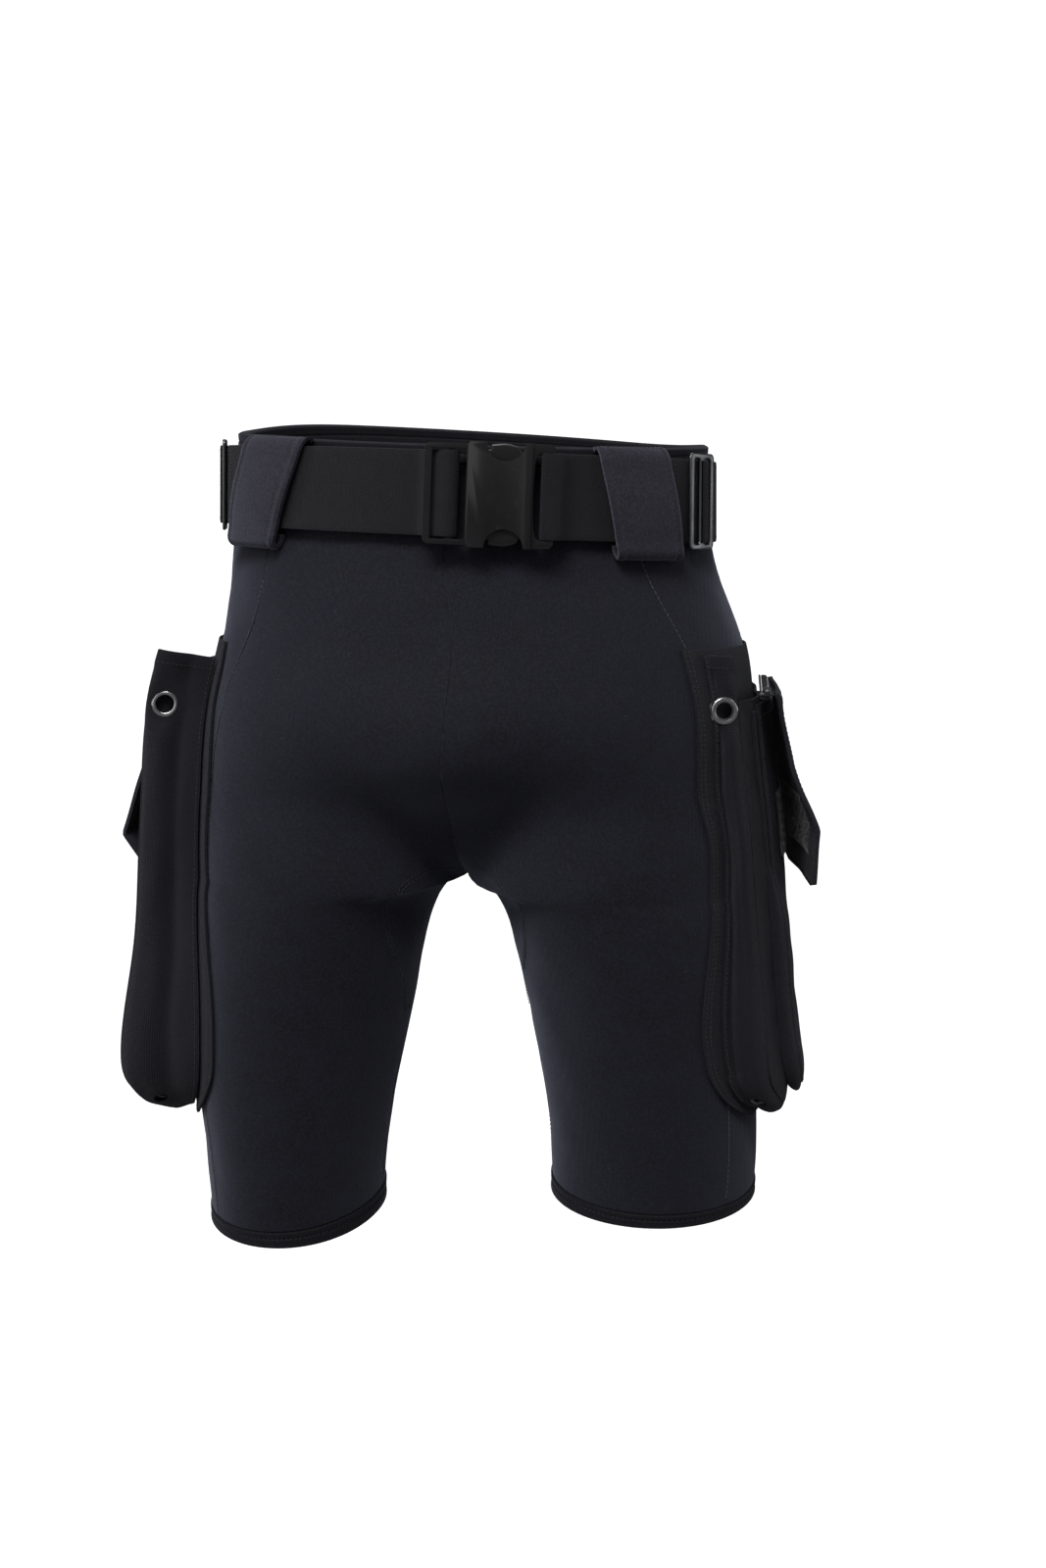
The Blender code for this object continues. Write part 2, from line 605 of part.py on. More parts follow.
box(bm, 25.0, 40.0, 9.2, 15.0, -32.0, 32.0)
box(bm, 28.5, 40.0, -1.0, 3.4, -32.0, 32.0)
cut(female, cutter("cut_horns", bm, M_B))
bm = bmesh.new()
prism(bm, round_rect(32.9, 36.3, -26.5, 26.5, 0.6, 2), 4.7, 7.9)
bar = cutter("add_bar", bm, M_B)
cut(female, bar, "UNION")
bv = female.modifiers.new("soft_edges", "BEVEL")
bv.width, bv.segments, bv.limit_method, bv.angle_limit = 0.0006, 1, "ANGLE", math.radians(40)

# ---------------------------------------------------------------- buckle, male part
bm = bmesh.new()
prism(bm, round_rect(-36.9, -9.0, -29.2, 29.2, 3.6, 4), 3.6, 9.4)
male = bm_to_object("buckle_male", bm, PLASTIC, M_B)
bm = bmesh.new()
box(bm, -32.6, -12.7, 0, 15, -26.2, 26.2)
cut(male, cutter("cut_slots", bm, M_B))
bm = bmesh.new()
box(bm, -12.25, 0.0, 0, 15, 27.1, 32.0)
box(bm, -12.25, 0.0, 0, 15, -32.0, -27.1)
box(bm, -33.5, -17.9, 7.3, 15.0, -26.2, 26.2)
box(bm, -40.0, -16.0, 0.0, 5.2, -25.8, 25.8)
cut(male, cutter("cut_steps", bm, M_B))
bm = bmesh.new()
prism(bm, round_rect(-23.7, -19.9, -27.0, 27.0, 0.5, 2), 3.85, 6.9)
cut(male, cutter("add_ladder_bar", bm, M_B), "UNION")
bm = bmesh.new()
prism(bm, round_rect(-36.9, -32.9, -27.5, 27.5, 1.5, 2), 5.6, 9.4)
prism_left = cutter("add_left_bar", bm, M_B)
cut(male, prism_left, "UNION")
bm = bmesh.new()
prism(bm, [(-11.0, -5.0), (17.0, -4.0), (19.5, -2.2), (19.5, 2.2), (17.0, 4.0), (-11.0, 5.0)], 4.4, 8.6)
cut(male, cutter("add_guide", bm, M_B), "UNION")
bv = male.modifiers.new("soft_edges", "BEVEL")
bv.width, bv.segments, bv.limit_method, bv.angle_limit = 0.0004, 1, "ANGLE", math.radians(40)

# ---------------------------------------------------------------- buckle, prongs
PRONG_ROOT = (-8.4, 23.3)
for tag, s in (("upper", 1), ("lower", -1)):
    out = [(-8.6, 21.6), (3.0, 20.4), (14.0, 18.4), (19.6, 17.6), (20.6, 19.6), (20.2, 23.8), (17.0, 27.4), (12.5, 29.2), (8.6, 29.6), (4.0, 29.2), (1.0, 28.8), (0.9, 26.0), (-3.0, 25.2), (-8.6, 25.0)]
    bm = bmesh.new()
    prism(bm, [(x, s * z) for x, z in out], 3.9, 10.3)
    bm_to_object(f"buckle_prong_{tag}", bm, PLASTIC, M_B, bevel=0.7, segments=2, angle=40)

# ---------------------------------------------------------------- slide adjusters
for tag, deg in (("l", TRI_L), ("r", TRI_R)):
    m = frame_at(deg)
    bm = bmesh.new()
    prism(bm, round_rect(-13.0, 13.0, -29.0, 29.0, 3.0, 4), 4.0, 6.2)
    tri = bm_to_object(f"slide_adjuster_{tag}", bm, DARKMETAL, m)
    bm = bmesh.new()
    prism(bm, round_rect(2.6, 8.6, -25.8, 25.8, 1.6, 2), 0, 10)
    prism(bm, round_rect(-8.6, -2.6, -25.8, 25.8, 1.6, 2), 0, 10)
    cut(tri, cutter(f"cut_slide_{tag}", bm, m))
    bv = tri.modifiers.new("soft_edges", "BEVEL")
    bv.width, bv.segments, bv.limit_method, bv.angle_limit = 0.0007, 2, "ANGLE", math.radians(40)


# ---------------------------------------------------------------- thigh pockets (wearer's left, mirrored for the right)
def on_leg(z, t, off):
    """A point of the +X half at height z in column t, off outside the neoprene."""
    j = t * SURF.nt
    j0 = min(int(j), SURF.nt - 1)
    zc = SURF.P[:, j0, 2] * (1 - (j - j0)) + SURF.P[:, j0 + 1, 2] * (j - j0)
    return SURF.at(1, float(np.interp(-z, -zc, SURF.ks)), t, off)


def t_at(z, y, front):
    """The column where the outer thigh is at depth y at height z."""
    ts = np.linspace(0.25, 0.5, 101) if front else np.linspace(0.5, 0.78, 101)
    ys = np.array([on_leg(z, t, 0.0)[1] for t in ts])
    return float(np.interp(y, ys, ts))


def thigh_x(y, z, off):
    """x of the outer thigh at (y, z), off outside the neoprene."""
    pts = np.array([on_leg(z, t, off) for t in np.linspace(0.27, 0.76, 61)])
    return float(np.interp(y, pts[:, 1], pts[:, 0]))


PY_C, PY_H = (PKT_YF + PKT_YB) / 2, (PKT_YB - PKT_YF) / 2
f_xi = spline([-0.380, -0.335, -0.280, -0.2265, -0.170, -0.130, -0.098], [0.1905, 0.1910, 0.1872, 0.1832, 0.1785, 0.1712, 0.1650])
f_xo = spline([-0.378, -0.355, -0.320, -0.280, -0.235, -0.200, -0.160, -0.125], [0.2060, 0.2076, 0.2038, 0.2007, 0.1965, 0.1932, 0.1890, 0.1845])


# on the wearer's right the pocket's front edge is rolled further out
f_roll = spline([-0.380, -0.365, -0.345, -0.310, -0.280, -0.2265, -0.170, -0.130, -0.098], [0.0100, 0.0185, 0.0205, 0.0165, 0.0135, 0.0155, 0.0180, 0.0210, 0.0220])
# on the wearer's left a crease runs down the face just behind its front edge
f_crease = spline([-0.378, -0.350, -0.320, -0.270, -0.210, -0.155, -0.098], [0.0000, 0.0020, 0.0048, 0.0040, 0.0040, 0.0050, 0.0035])
DRAIN_R = 0.035                     # radius of the pocket's lower corners
OUT_YF, OUT_YB = -0.036, 0.073      # the outer compartment's front and back walls


def face_in(y, z, side=1):
    """x of the inner compartment's outer face."""
    x = float(f_xi(z)) + 0.007 * (1 - ((y - PY_C) / PY_H) ** 2)
    if side > 0:
        return x - float(f_crease(z)) * math.exp(-(((y + 0.043) / 0.009) ** 2))
    low = min(max(0.0, PKT_BOT + DRAIN_R - z), DRAIN_R)
    edge = PKT_YF + DRAIN_R - math.sqrt(DRAIN_R ** 2 - low ** 2)
    return x + float(f_roll(z)) * math.exp(-((max(0.0, y - edge) / 0.012) ** 2))


def face_out(y, z):
    """x of the outer compartment's outer face."""
    return float(f_xo(z)) - 0.003 * ((y - PY_C) / PY_H) ** 2


def outline(y0, y1, z0, z1, r, extra=()):
    """Front top, down, round the bottom and up the back."""
    p = [(y0, z0)] + [(y0, z) for z in extra]
    p += [(y0 + r - r * math.cos(math.radians(a)), z1 + r - r * math.sin(math.radians(a))) for a in (0, 30, 60, 90)]
    p += [((y0 + y1) / 2, z1)]
    p += [(y1 - r + r * math.sin(math.radians(a)), z1 + r - r * math.cos(math.radians(a))) for a in (0, 30, 60, 90)]
    p += [(y1, z) for z in reversed(extra)] + [(y1, z0)]
    return np.array(p)


def mirror(a, side):
    return np.asarray(a, float) * np.array([side, 1.0, 1.0])


f_tuck = {1: spline([-0.378, -0.354, -0.330, -0.287, -0.245, -0.193, -0.130, -0.089], [0.000, -0.0020, -0.0060, -0.0070, -0.0036, -0.0023, -0.0042, -0.0040]),
          -1: spline([-0.378, -0.353, -0.322, -0.297, -0.264, -0.225, -0.198, -0.164, -0.132, -0.110, -0.098],
                     [-0.0030, -0.0076, -0.0112, -0.0115, -0.0090, -0.0050, -0.0040, -0.0020, 0.0050, 0.0130, 0.0155])}


def tuck(y, z, side):
    """How far the front wall's seam to the backing sits behind its outer edge."""
    return float(f_tuck[side](z)) if y < PKT_YF + 0.001 else 0.0


def wall(name, side, path, x_in, x_out, thick, mat, drop=0.0, nprof=3, dy=lambda y, z: 0.0):
    """A band along a (y, z) path from x_in(y, z) to x_out(y, z)."""
    d = np.gradient(path, axis=0)
    d /= np.linalg.norm(d, axis=1, keepdims=True)
    n = np.stack([d[:, 1], -d[:, 0]], 1)
    n = np.where((path[:, :1] < PY_C) & (n[:, :1] > 0), -n, n)
    if n[len(n) // 2, 1] > 0:
        n = -n
    grids = []
    for q in (thick / 2, -thick / 2):
        g = []
        for i, (y, z) in enumerate(path):
            row = []
            a, b = x_in(y, z), x_out(y, z)
            for u in np.linspace(0, 1, nprof):
                zz = z - (drop * u if i in (0, len(path) - 1) else 0)
                row.append((a + (b - a) * u, y + n[i, 0] * q + dy(y, z) * (1 - u), zz + n[i, 1] * q))
            g.append(row)
        grids.append(mirror(g, side))
    return slab(name, grids[0], grids[1], mat, smooth=50)


def sheet(name, side, rows, ycols, x_fn, thick, mat):
    """A sheet facing outward: rows are (z, y_from, y_to)."""
    o, i = [], []
    for z, ya, yb in rows:
        ys = [ya + (yb - ya) * u for u in ycols]
        o.append([(x_fn(y, z) + thick, y, z) for y in ys])
        i.append([(x_fn(y, z), y, z) for y in ys])
    return slab(name, mirror(o, side), mirror(i, side), mat, smooth=50)


def rounded_rows(y0, y1, z0, z1, r, zs, n=3):
    """Rows of a panel with rounded lower corners."""
    rows = [(z, y0, y1) for z in [z0] + list(zs) + [z1 + r]]
    for i in range(1, n + 1):
        a = math.radians(80 * i / n)
        rows.append((z1 + r - r * math.sin(a) / math.sin(math.radians(80)), y0 + r * (1 - math.cos(a)), y1 - r * (1 - math.cos(a))))
    return rows


def disc(bm, profile, n=24):
    """Lathes an (r, h) profile about +Y (h along +Y); closed ring profile."""
    rings = [[bm.verts.new((r * math.cos(2 * math.pi * i / n), h, r * math.sin(2 * math.pi * i / n))) for r, h in profile] for i in range(n)]
    m = len(profile)
    for i in range(n):
        for j in range(m):
            a, b = rings[i], rings[(i + 1) % n]
            bm.faces.new((a[j], a[(j + 1) % m], b[(j + 1) % m], b[j]))


def cylinder(bm, r, h0, h1, n=24):
    a = [bm.verts.new((r * math.cos(2 * math.pi * i / n), h0, r * math.sin(2 * math.pi * i / n))) for i in range(n)]
    b = [bm.verts.new((r * math.cos(2 * math.pi * i / n), h1, r * math.sin(2 * math.pi * i / n))) for i in range(n)]
    bm.faces.new(a)
    bm.faces.new(b[::-1])
    for i in range(n):
        bm.faces.new((a[i], a[(i + 1) % n], b[(i + 1) % n], b[i]))


def frame_from(o, x, y):
    """A frame with origin o, X near x and Y along y (both mirrored already)."""
    y = Vector(y).normalized()
    z = Vector(x).cross(y).normalized()
    x = y.cross(z).normalized()
    m = Matrix.Identity(4)
    for r in range(3):
        m[r][0], m[r][1], m[r][2], m[r][3] = x[r], y[r], z[r], o[r]
    return m


# heights either side: backing top, wall top at the thigh, how far it drops outward, inner face top, outer wall and face tops, eyelet, zip
TOPS = {1: (-0.0885, -0.0915, 0.0, -0.1200, -0.1265, -0.1225, -0.1240, -0.1165),
        -1: (-0.0980, -0.1085, -0.0055, -0.1260, -0.1400, -0.1360, -0.1365, -0.1225)}
FLAP_X, FLAP_Z = 0.1900, -0.1162     # the flap's hinge line
f_flare = lambda z: np.interp(z, [-0.2335, -0.1990, -0.1610, -0.1300, -0.1160], [0.0150, 0.0205, 0.0085, 0.0030, 0.0020])


def flap_in(y, z):
    """x of the flap's inner face."""
    w = 1 - 0.88 * (y + 0.034) / 0.108
    return face_out(y, min(z, -0.1255)) + (min(z, -0.1255) - z) * 0.12 + 0.0036 + float(f_flare(z)) * w * (0.0 if z > -0.117 else 1.0)


for tag, side in (("l", 1), ("r", -1)):
    # backing: a sheet on the thigh, wider than the pocket all round
    rows_o, rows_i = [], []
    BACK_Z, HEM_Z, DROP, FACE_Z, OUTW_Z, OUTF_Z, EYE_Z, ZZ = TOPS[side]
    zt = [BACK_Z, (2 * BACK_Z - 0.150) / 3, (BACK_Z - 0.300) / 3, -0.150, -0.200, -0.245, -0.290, -0.340, -0.360, -0.374, -0.3835]
    for z in zt:
        drop = max(0.0, -0.3435 - z) / 0.041
        pull = 0.0415 * (1 - math.sqrt(max(0.0, 1 - min(drop, 0.97) ** 2)))
        a = t_at(z, PKT_YF - 0.0065 + tuck(PKT_YF, z, side) + pull, True)
        b = t_at(z, PKT_YB + 0.0065 - pull, False)
        ts = [a + (b - a) * j / 16 for j in range(17)]
        rows_o.append([on_leg(z, t, 0.0012 + FAB_T) for t in ts])
        rows_i.append([on_leg(z, t, 0.0012) for t in ts])
    slab(f"pocket_backing_{tag}", mirror(rows_o, side), mirror(rows_i, side), FAB)

    base = lambda y, z: thigh_x(y + tuck(y, z, side), z, 0.0040)
    path = outline(PKT_YF, PKT_YB, HEM_Z, PKT_BOT, DRAIN_R, (EYE_Z + 0.011, EYE_Z + 0.0055, EYE_Z, EYE_Z - 0.0055, EYE_Z - 0.011, -0.161, -0.190, -0.230, -0.270, -0.310))
    gus = wall(f"pocket_gusset_{tag}", side, path, base, lambda y, z: face_in(y, z, side) - (0.0012 if side > 0 else 0.0039), FAB_T, FAB, drop=DROP, dy=lambda y, z: tuck(y, z, side))
    sheet(f"pocket_face_{tag}", side, rounded_rows(PKT_YF - 0.001, PKT_YB + 0.001, FACE_Z, PKT_BOT - 0.001, DRAIN_R, (-0.150, -0.190, -0.230, -0.270, -0.310)),
          [0, 0.045, 0.09, 0.15, 0.35, 0.6, 0.85, 1], lambda y, z: face_in(y, z, side), FAB_T, FAB)
    path = outline(OUT_YF, OUT_YB, OUTW_Z, PKT_BOT + 0.008, 0.030, (-0.200, -0.255, -0.305))
    wall(f"outer_gusset_{tag}", side, path, lambda y, z: face_in(y, z, side) + FAB_T + (0.0009 if side > 0 else 0.0017), lambda y, z: face_out(y, z) - 0.0013, FAB_T, FAB, nprof=2)
    sheet(f"outer_face_{tag}", side, rounded_rows(OUT_YF - 0.001, OUT_YB + 0.001, OUTF_Z, PKT_BOT + 0.007, 0.031, (-0.170, -0.210, -0.250, -0.285, -0.315)),
          [0, 0.15, 0.35, 0.65, 0.85, 1], face_out, FAB_T, FAB)
    # flap
    rows = [(-0.1165, -0.034, 0.074), (-0.130, -0.034, 0.074), (-0.161, -0.034, 0.074), (-0.184, -0.034, 0.074),
            (-0.199, -0.034, 0.074), (-0.217, -0.034, 0.074), (-0.2335, -0.033, 0.073), (-0.2385, -0.014, 0.062)]
    sheet(f"pocket_flap_{tag}", side, rows, [0, 0.15, 0.3, 0.5, 0.7, 0.85, 1], flap_in, 0.0018, FAB)
    # hook and loop
    sheet(f"hook_patch_{tag}", side, [(z, -0.010, 0.048) for z in (-0.186, -0.196, -0.205, -0.215)], [0, 0.25, 0.5, 0.75, 1],
          lambda y, z: flap_in(y, z) - 0.0019, 0.0010, HOOK)
    sheet(f"loop_patch_{tag}", side, [(z, -0.012, 0.050) for z in (-0.184, -0.196, -0.207, -0.219)], [0, 0.25, 0.5, 0.75, 1],
          lambda y, z: face_out(y, z) + FAB_T + 0.0003, 0.0009, HOOK)
    # zip: two tapes, the coil, the slider and its pull
    ZX, zy = 0.1805, -0.054 if side > 0 else -0.031
    for part, x0, x1, z0, z1 in (("inner", ZX - 0.0036, ZX - 0.0022, ZZ + 0.0003, ZZ), ("outer", ZX + 0.0022, 0.1842, ZZ - 0.0003, ZZ - 0.0024)):
        ys = (zy, 0.011, 0.076)
        o = [[(x0, y, z0 + 0.0006), (x1, y, z1 + 0.0006)] for y in ys]
        i = [[(x0, y, z0 - 0.0006), (x1, y, z1 - 0.0006)] for y in ys]
        slab(f"zip_tape_{part}_{tag}", mirror(o, side), mirror(i, side), TAPE)
    mz = frame_from(warp(np.array([side * ZX, zy, ZZ])), (1, 0, slope(ZZ)), (0, 1, 0))
    bm = bmesh.new()
    prism(bm, round_rect(-1.5, 1.5, -1.0, 1.0, 0.7, 2), 0.0, -(0.076 - zy) * 1000)
    bm_to_object(f"zip_coil_{tag}", bm, TAPE, mz)
    bm = bmesh.new()
    prism(bm, [(-4.2, 1.5), (4.2, 1.5), (4.2, 3.4), (3.0, 4.0), (-3.0, 4.0), (-4.2, 3.4)], -1.5, -12.5)
    bm_to_object(f"zip_slider_{tag}", bm, DARKMETAL, mz, bevel=0.5, segments=1)
    mp = frame_from(warp(np.array([side * ZX, zy + 0.005, ZZ + 0.0062])), (1, 0, slope(ZZ)), (0, 1, 0))
    bm = bmesh.new()
    prism(bm, [(x, z) for x, z in [(-2.6, -0.75), (2.6, -0.75), (2.6, 0.75), (-2.6, 0.75)]], -1.0, 20.0)
    bm_to_object(f"zip_pull_{tag}", bm, DARKMETAL, mp, bevel=0.4, segments=1)
    # eyelet on the front wall of the gusset
    u_eye = 0.43 if side > 0 else 0.70
    run, rise = face_in(PKT_YF, EYE_Z, side) - base(PKT_YF, EYE_Z), tuck(PKT_YF, EYE_Z, side)
    x_eye, y_eye = base(PKT_YF, EYE_Z) + u_eye * run, PKT_YF + (1 - u_eye) * rise
    lean = (1 - u_eye) * (tuck(PKT_YF, EYE_Z + 0.005, side) - tuck(PKT_YF, EYE_Z - 0.005, side)) / 0.01
    me = frame_from(warp(np.array([side * x_eye, y_eye, EYE_Z])), (run, -side * rise, 0), (-side * rise, -run, run * lean))
    bm = bmesh.new()
    cylinder(bm, 5.9, -4.0, 4.0)
    cut(gus, cutter(f"cut_eyelet_{tag}", bm, me))
    bm = bmesh.new()
    disc(bm, [(5.0, -1.8), (5.5, -1.8), (5.5, 1.10), (8.3, 1.10), (8.6, 1.40), (8.1, 1.85), (6.5, 2.25), (5.3, 1.95), (5.0, 1.35)])
    bm_to_object(f"eyelet_{tag}", bm, METAL, me, smooth=60)
    bm = bmesh.new()
    disc(bm, [(5.8, -1.85), (7.7, -1.85), (7.7, -2.2), (6.9, -2.4), (5.8, -2.3)])
    bm_to_object(f"eyelet_washer_{tag}", bm, METAL, me, smooth=60)
    # drain eyelet in the lower front corner
    q = 0.035 * math.cos(math.radians(15)) * math.sqrt(0.5)
    yd, zd = PKT_YF + 0.035 - q, PKT_BOT + 0.035 - q
    xd = (base(yd, zd) + face_in(yd, zd, side)) / 2
    md = frame_from(warp(np.array([side * xd, yd, zd])), (1, 0, 0), (0, 1, 1))
    bm = bmesh.new()
    cylinder(bm, 4.2, -4.0, 4.0)
    cut(gus, cutter(f"cut_drain_{tag}", bm, md))
    bm = bmesh.new()
    disc(bm, [(3.2, -1.5), (3.8, -1.5), (3.8, 1.05), (6.2, 1.05), (6.4, 1.3), (5.2, 1.9), (3.8, 1.7), (3.2, 1.1)], n=20)
    bm_to_object(f"drain_eyelet_{tag}", bm, DARKMETAL, md, smooth=60)


# ---------------------------------------------------------------- joint axes: each moving piece's origin sits on its own
def pivot(name, m):
    ob = bpy.data.objects[name]
    ob.data.transform(m.inverted() @ ob.matrix_world)
    ob.matrix_world = m


bpy.context.view_layer.update()
for tag, sz in (("upper", 1), ("lower", -1)):
    pivot(f"buckle_prong_{tag}", M_B @ Matrix.Translation((PRONG_ROOT[0] / 1000, -0.0071, sz * PRONG_ROOT[1] / 1000)))
for tag, deg in (("l", TRI_L), ("r", TRI_R)):
    a = math.radians(deg)
    radius = ((BELT_A * math.cos(a)) ** 2 + (BELT_B * math.sin(a)) ** 2) ** 1.5 / (BELT_A * BELT_B)
    pivot(f"slide_adjuster_{tag}", frame_at(deg) @ Matrix.Translation((0, radius, 0)))
for tag, side in (("l", 1), ("r", -1)):
    pivot(f"pocket_flap_{tag}", Matrix.Translation(Vector(warp(np.array([side * FLAP_X, 0.011, FLAP_Z])))))

# ---------------------------------------------------------------- origin: centre of the underside of the bounding box
bpy.context.view_layer.update()
shown = [o for o in bpy.data.objects if o.type == "MESH" and not o.hide_render]
cloud = np.array([o.matrix_world @ v.co for o in shown for v in o.data.vertices])
low, high = cloud.min(0), cloud.max(0)
SHIFT = Matrix.Translation((-(low[0] + high[0]) / 2, -(low[1] + high[1]) / 2, -low[2]))
for o in bpy.data.objects:
    o.matrix_world = SHIFT @ o.matrix_world
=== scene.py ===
"""Looks for the neoprene dive shorts with their threaded weight belt and two thigh pockets.

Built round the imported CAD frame. The shape functions work about the centre of the belt ring, in metres,
and are moved into the row frame by SHIFT, which comes from the frame itself.
"""

import json
import math

import bmesh
import bpy
import numpy as np
from mathutils import Matrix, Vector

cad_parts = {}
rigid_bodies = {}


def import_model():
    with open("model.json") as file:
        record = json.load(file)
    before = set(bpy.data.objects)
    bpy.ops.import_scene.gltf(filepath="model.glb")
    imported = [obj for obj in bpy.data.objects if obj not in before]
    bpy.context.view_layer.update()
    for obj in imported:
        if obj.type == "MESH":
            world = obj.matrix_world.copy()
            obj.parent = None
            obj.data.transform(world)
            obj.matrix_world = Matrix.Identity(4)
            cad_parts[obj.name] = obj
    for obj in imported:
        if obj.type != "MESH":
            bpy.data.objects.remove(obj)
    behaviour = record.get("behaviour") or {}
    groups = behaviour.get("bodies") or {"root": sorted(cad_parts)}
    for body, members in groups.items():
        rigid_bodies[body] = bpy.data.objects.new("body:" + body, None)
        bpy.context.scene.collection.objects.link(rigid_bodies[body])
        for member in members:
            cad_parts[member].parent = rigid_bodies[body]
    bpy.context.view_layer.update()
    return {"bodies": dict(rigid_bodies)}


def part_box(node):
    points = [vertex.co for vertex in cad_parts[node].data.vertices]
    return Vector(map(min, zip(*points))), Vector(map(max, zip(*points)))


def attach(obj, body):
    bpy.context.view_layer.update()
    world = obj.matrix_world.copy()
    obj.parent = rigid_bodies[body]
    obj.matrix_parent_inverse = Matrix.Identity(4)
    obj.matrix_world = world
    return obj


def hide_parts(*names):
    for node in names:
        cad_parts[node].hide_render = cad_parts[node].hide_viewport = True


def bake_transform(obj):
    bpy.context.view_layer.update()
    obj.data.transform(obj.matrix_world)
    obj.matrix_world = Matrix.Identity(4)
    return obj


for o in list(bpy.data.objects):
    bpy.data.objects.remove(o, do_unlink=True)

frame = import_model()
ROOT = "garment" if "garment" in frame["bodies"] else "root"

# ---------------------------------------------------------------- driving dimensions
NEO_T = 0.0030          # neoprene thickness
WEB_W = 0.050           # belt webbing width
WEB_T = 0.0016          # belt webbing thickness
FAB_T = 0.0012          # pocket fabric thickness
GAP = 0.0004            # clearance left between neighbouring solids
Z_CROTCH = -0.240       # lowest point of the crotch
Z_HEM = -0.445          # leg hem
Z_SPLIT = -0.100        # where the two halves start to turn into legs
WAIST_TILT = -0.036     # slope of the waist across the body
LEG_DROP, LEG_STEP = -0.0030, 0.0150   # how far the hems hang below level, and half the difference between them
BELT_A, BELT_B = 0.1540, 0.1045   # inner half width and half depth of the belt ring
BUCKLE_X = 0.0266       # where the buckle sits along the front
PKT_TOP, PKT_BOT = -0.104, -0.378  # pocket top and bottom
PKT_YF, PKT_YB = -0.056, 0.080     # pocket front and back walls


# ---------------------------------------------------------------- curves through tables
def spline(xs, ys):
    """Natural cubic spline through a table, as a function of arrays."""
    xs, ys = np.array(xs, float), np.array(ys, float)
    n = len(xs)
    h = np.diff(xs)
    A = np.zeros((n, n))
    r = np.zeros(n)
    A[0, 0] = A[-1, -1] = 1
    for i in range(1, n - 1):
        A[i, i - 1], A[i, i], A[i, i + 1] = h[i - 1], 2 * (h[i - 1] + h[i]), h[i]
        r[i] = 6 * ((ys[i + 1] - ys[i]) / h[i] - (ys[i] - ys[i - 1]) / h[i - 1])
    M = np.linalg.solve(A, r)

    def f(x):
        x = np.clip(np.asarray(x, float), xs[0], xs[-1])
        i = np.clip(np.searchsorted(xs, x) - 1, 0, n - 2)
        d0, d1, hh = x - xs[i], xs[i + 1] - x, h[i]
        return (M[i] * d1**3 + M[i + 1] * d0**3) / (6 * hh) + (ys[i] / hh - M[i] * hh / 6) * d1 + (ys[i + 1] / hh - M[i + 1] * hh / 6) * d0

    return f


# the body's cross-section: half width, half depth in front and behind (outer face of the neoprene)
ZT = [-0.26, -0.24, -0.19, -0.14, -0.098, -0.068, -0.042, 0.0, 0.045]
f_a = spline(ZT, [0.176, 0.1755, 0.174, 0.1725, 0.1672, 0.1602, 0.1547, 0.1510, 0.1490])
f_bf = spline(ZT, [0.094, 0.096, 0.104, 0.109, 0.109, 0.1065, 0.1028, 0.1000, 0.098])
f_bb = spline(ZT, [0.104, 0.108, 0.117, 0.121, 0.117, 0.1095, 0.1030, 0.1000, 0.098])
# the legs: inner line, outer line, half depth
ZL = [-0.46, -0.44, -0.405, -0.36, -0.31, -0.275, -0.24, -0.20]
f_out = spline(ZL, [0.1725, 0.1742, 0.177, 0.1785, 0.1785, 0.1772, 0.1755, 0.174])
f_hf = spline(ZL, [0.068, 0.069, 0.073, 0.078, 0.084, 0.089, 0.094, 0.100])
f_hb = spline(ZL, [0.070, 0.072, 0.078, 0.085, 0.092, 0.099, 0.106, 0.112])
f_in = spline([0, 0.0548, 0.10, 0.141, 0.187, 0.2646, 0.346, 0.406, 0.47],
              [0, 0.0095, 0.0168, 0.0222, 0.0275, 0.0360, 0.0455, 0.0515, 0.0535])


def waist_top(t):
    return 0.0285 + 0.014 * (1 - np.cos(np.pi * t)) / 2


def smooth01(x):
    x = np.clip(x, 0, 1)
    return x * x * (3 - 2 * x)




def f_dx(z):
    """Sideways set of the upper hips."""
    return -0.0005 + 0.0065 * smooth01((-z - 0.030) / 0.06) * (1 - smooth01((-z - 0.09) / 0.09))


HEM_DX = ([-0.20, -0.1725, -0.0535, 0.0, 0.0535, 0.1725, 0.20], [0.0072, 0.0070, -0.0044, -0.001, 0.0, 0.0044, 0.0050])


def slope(z):
    """Slope of the garment across the body at height z."""
    return WAIST_TILT * (1 - smooth01(-np.asarray(z, float) / 0.40))


def warp(p):
    """The set of the garment: the waist and the hems are not quite level, and one leg hangs lower."""
    p = np.array(p, float)
    x, y, z = p[..., 0].copy(), p[..., 1].copy(), p[..., 2].copy()
    leg = np.clip((-z - 0.12) / 0.325, 0, 1.3) ** 2
    p[..., 2] += x * slope(z) + leg * (LEG_DROP + LEG_STEP * x / np.sqrt(x * x + 0.05**2))
    p[..., 2] -= 0.030 * x * smooth01(y / 0.08) * smooth01((z - 0.027) / 0.012)
    p[..., 0] += f_dx(z) + smooth01((-z - 0.33) / 0.10) * np.interp(x, *HEM_DX)
    return p


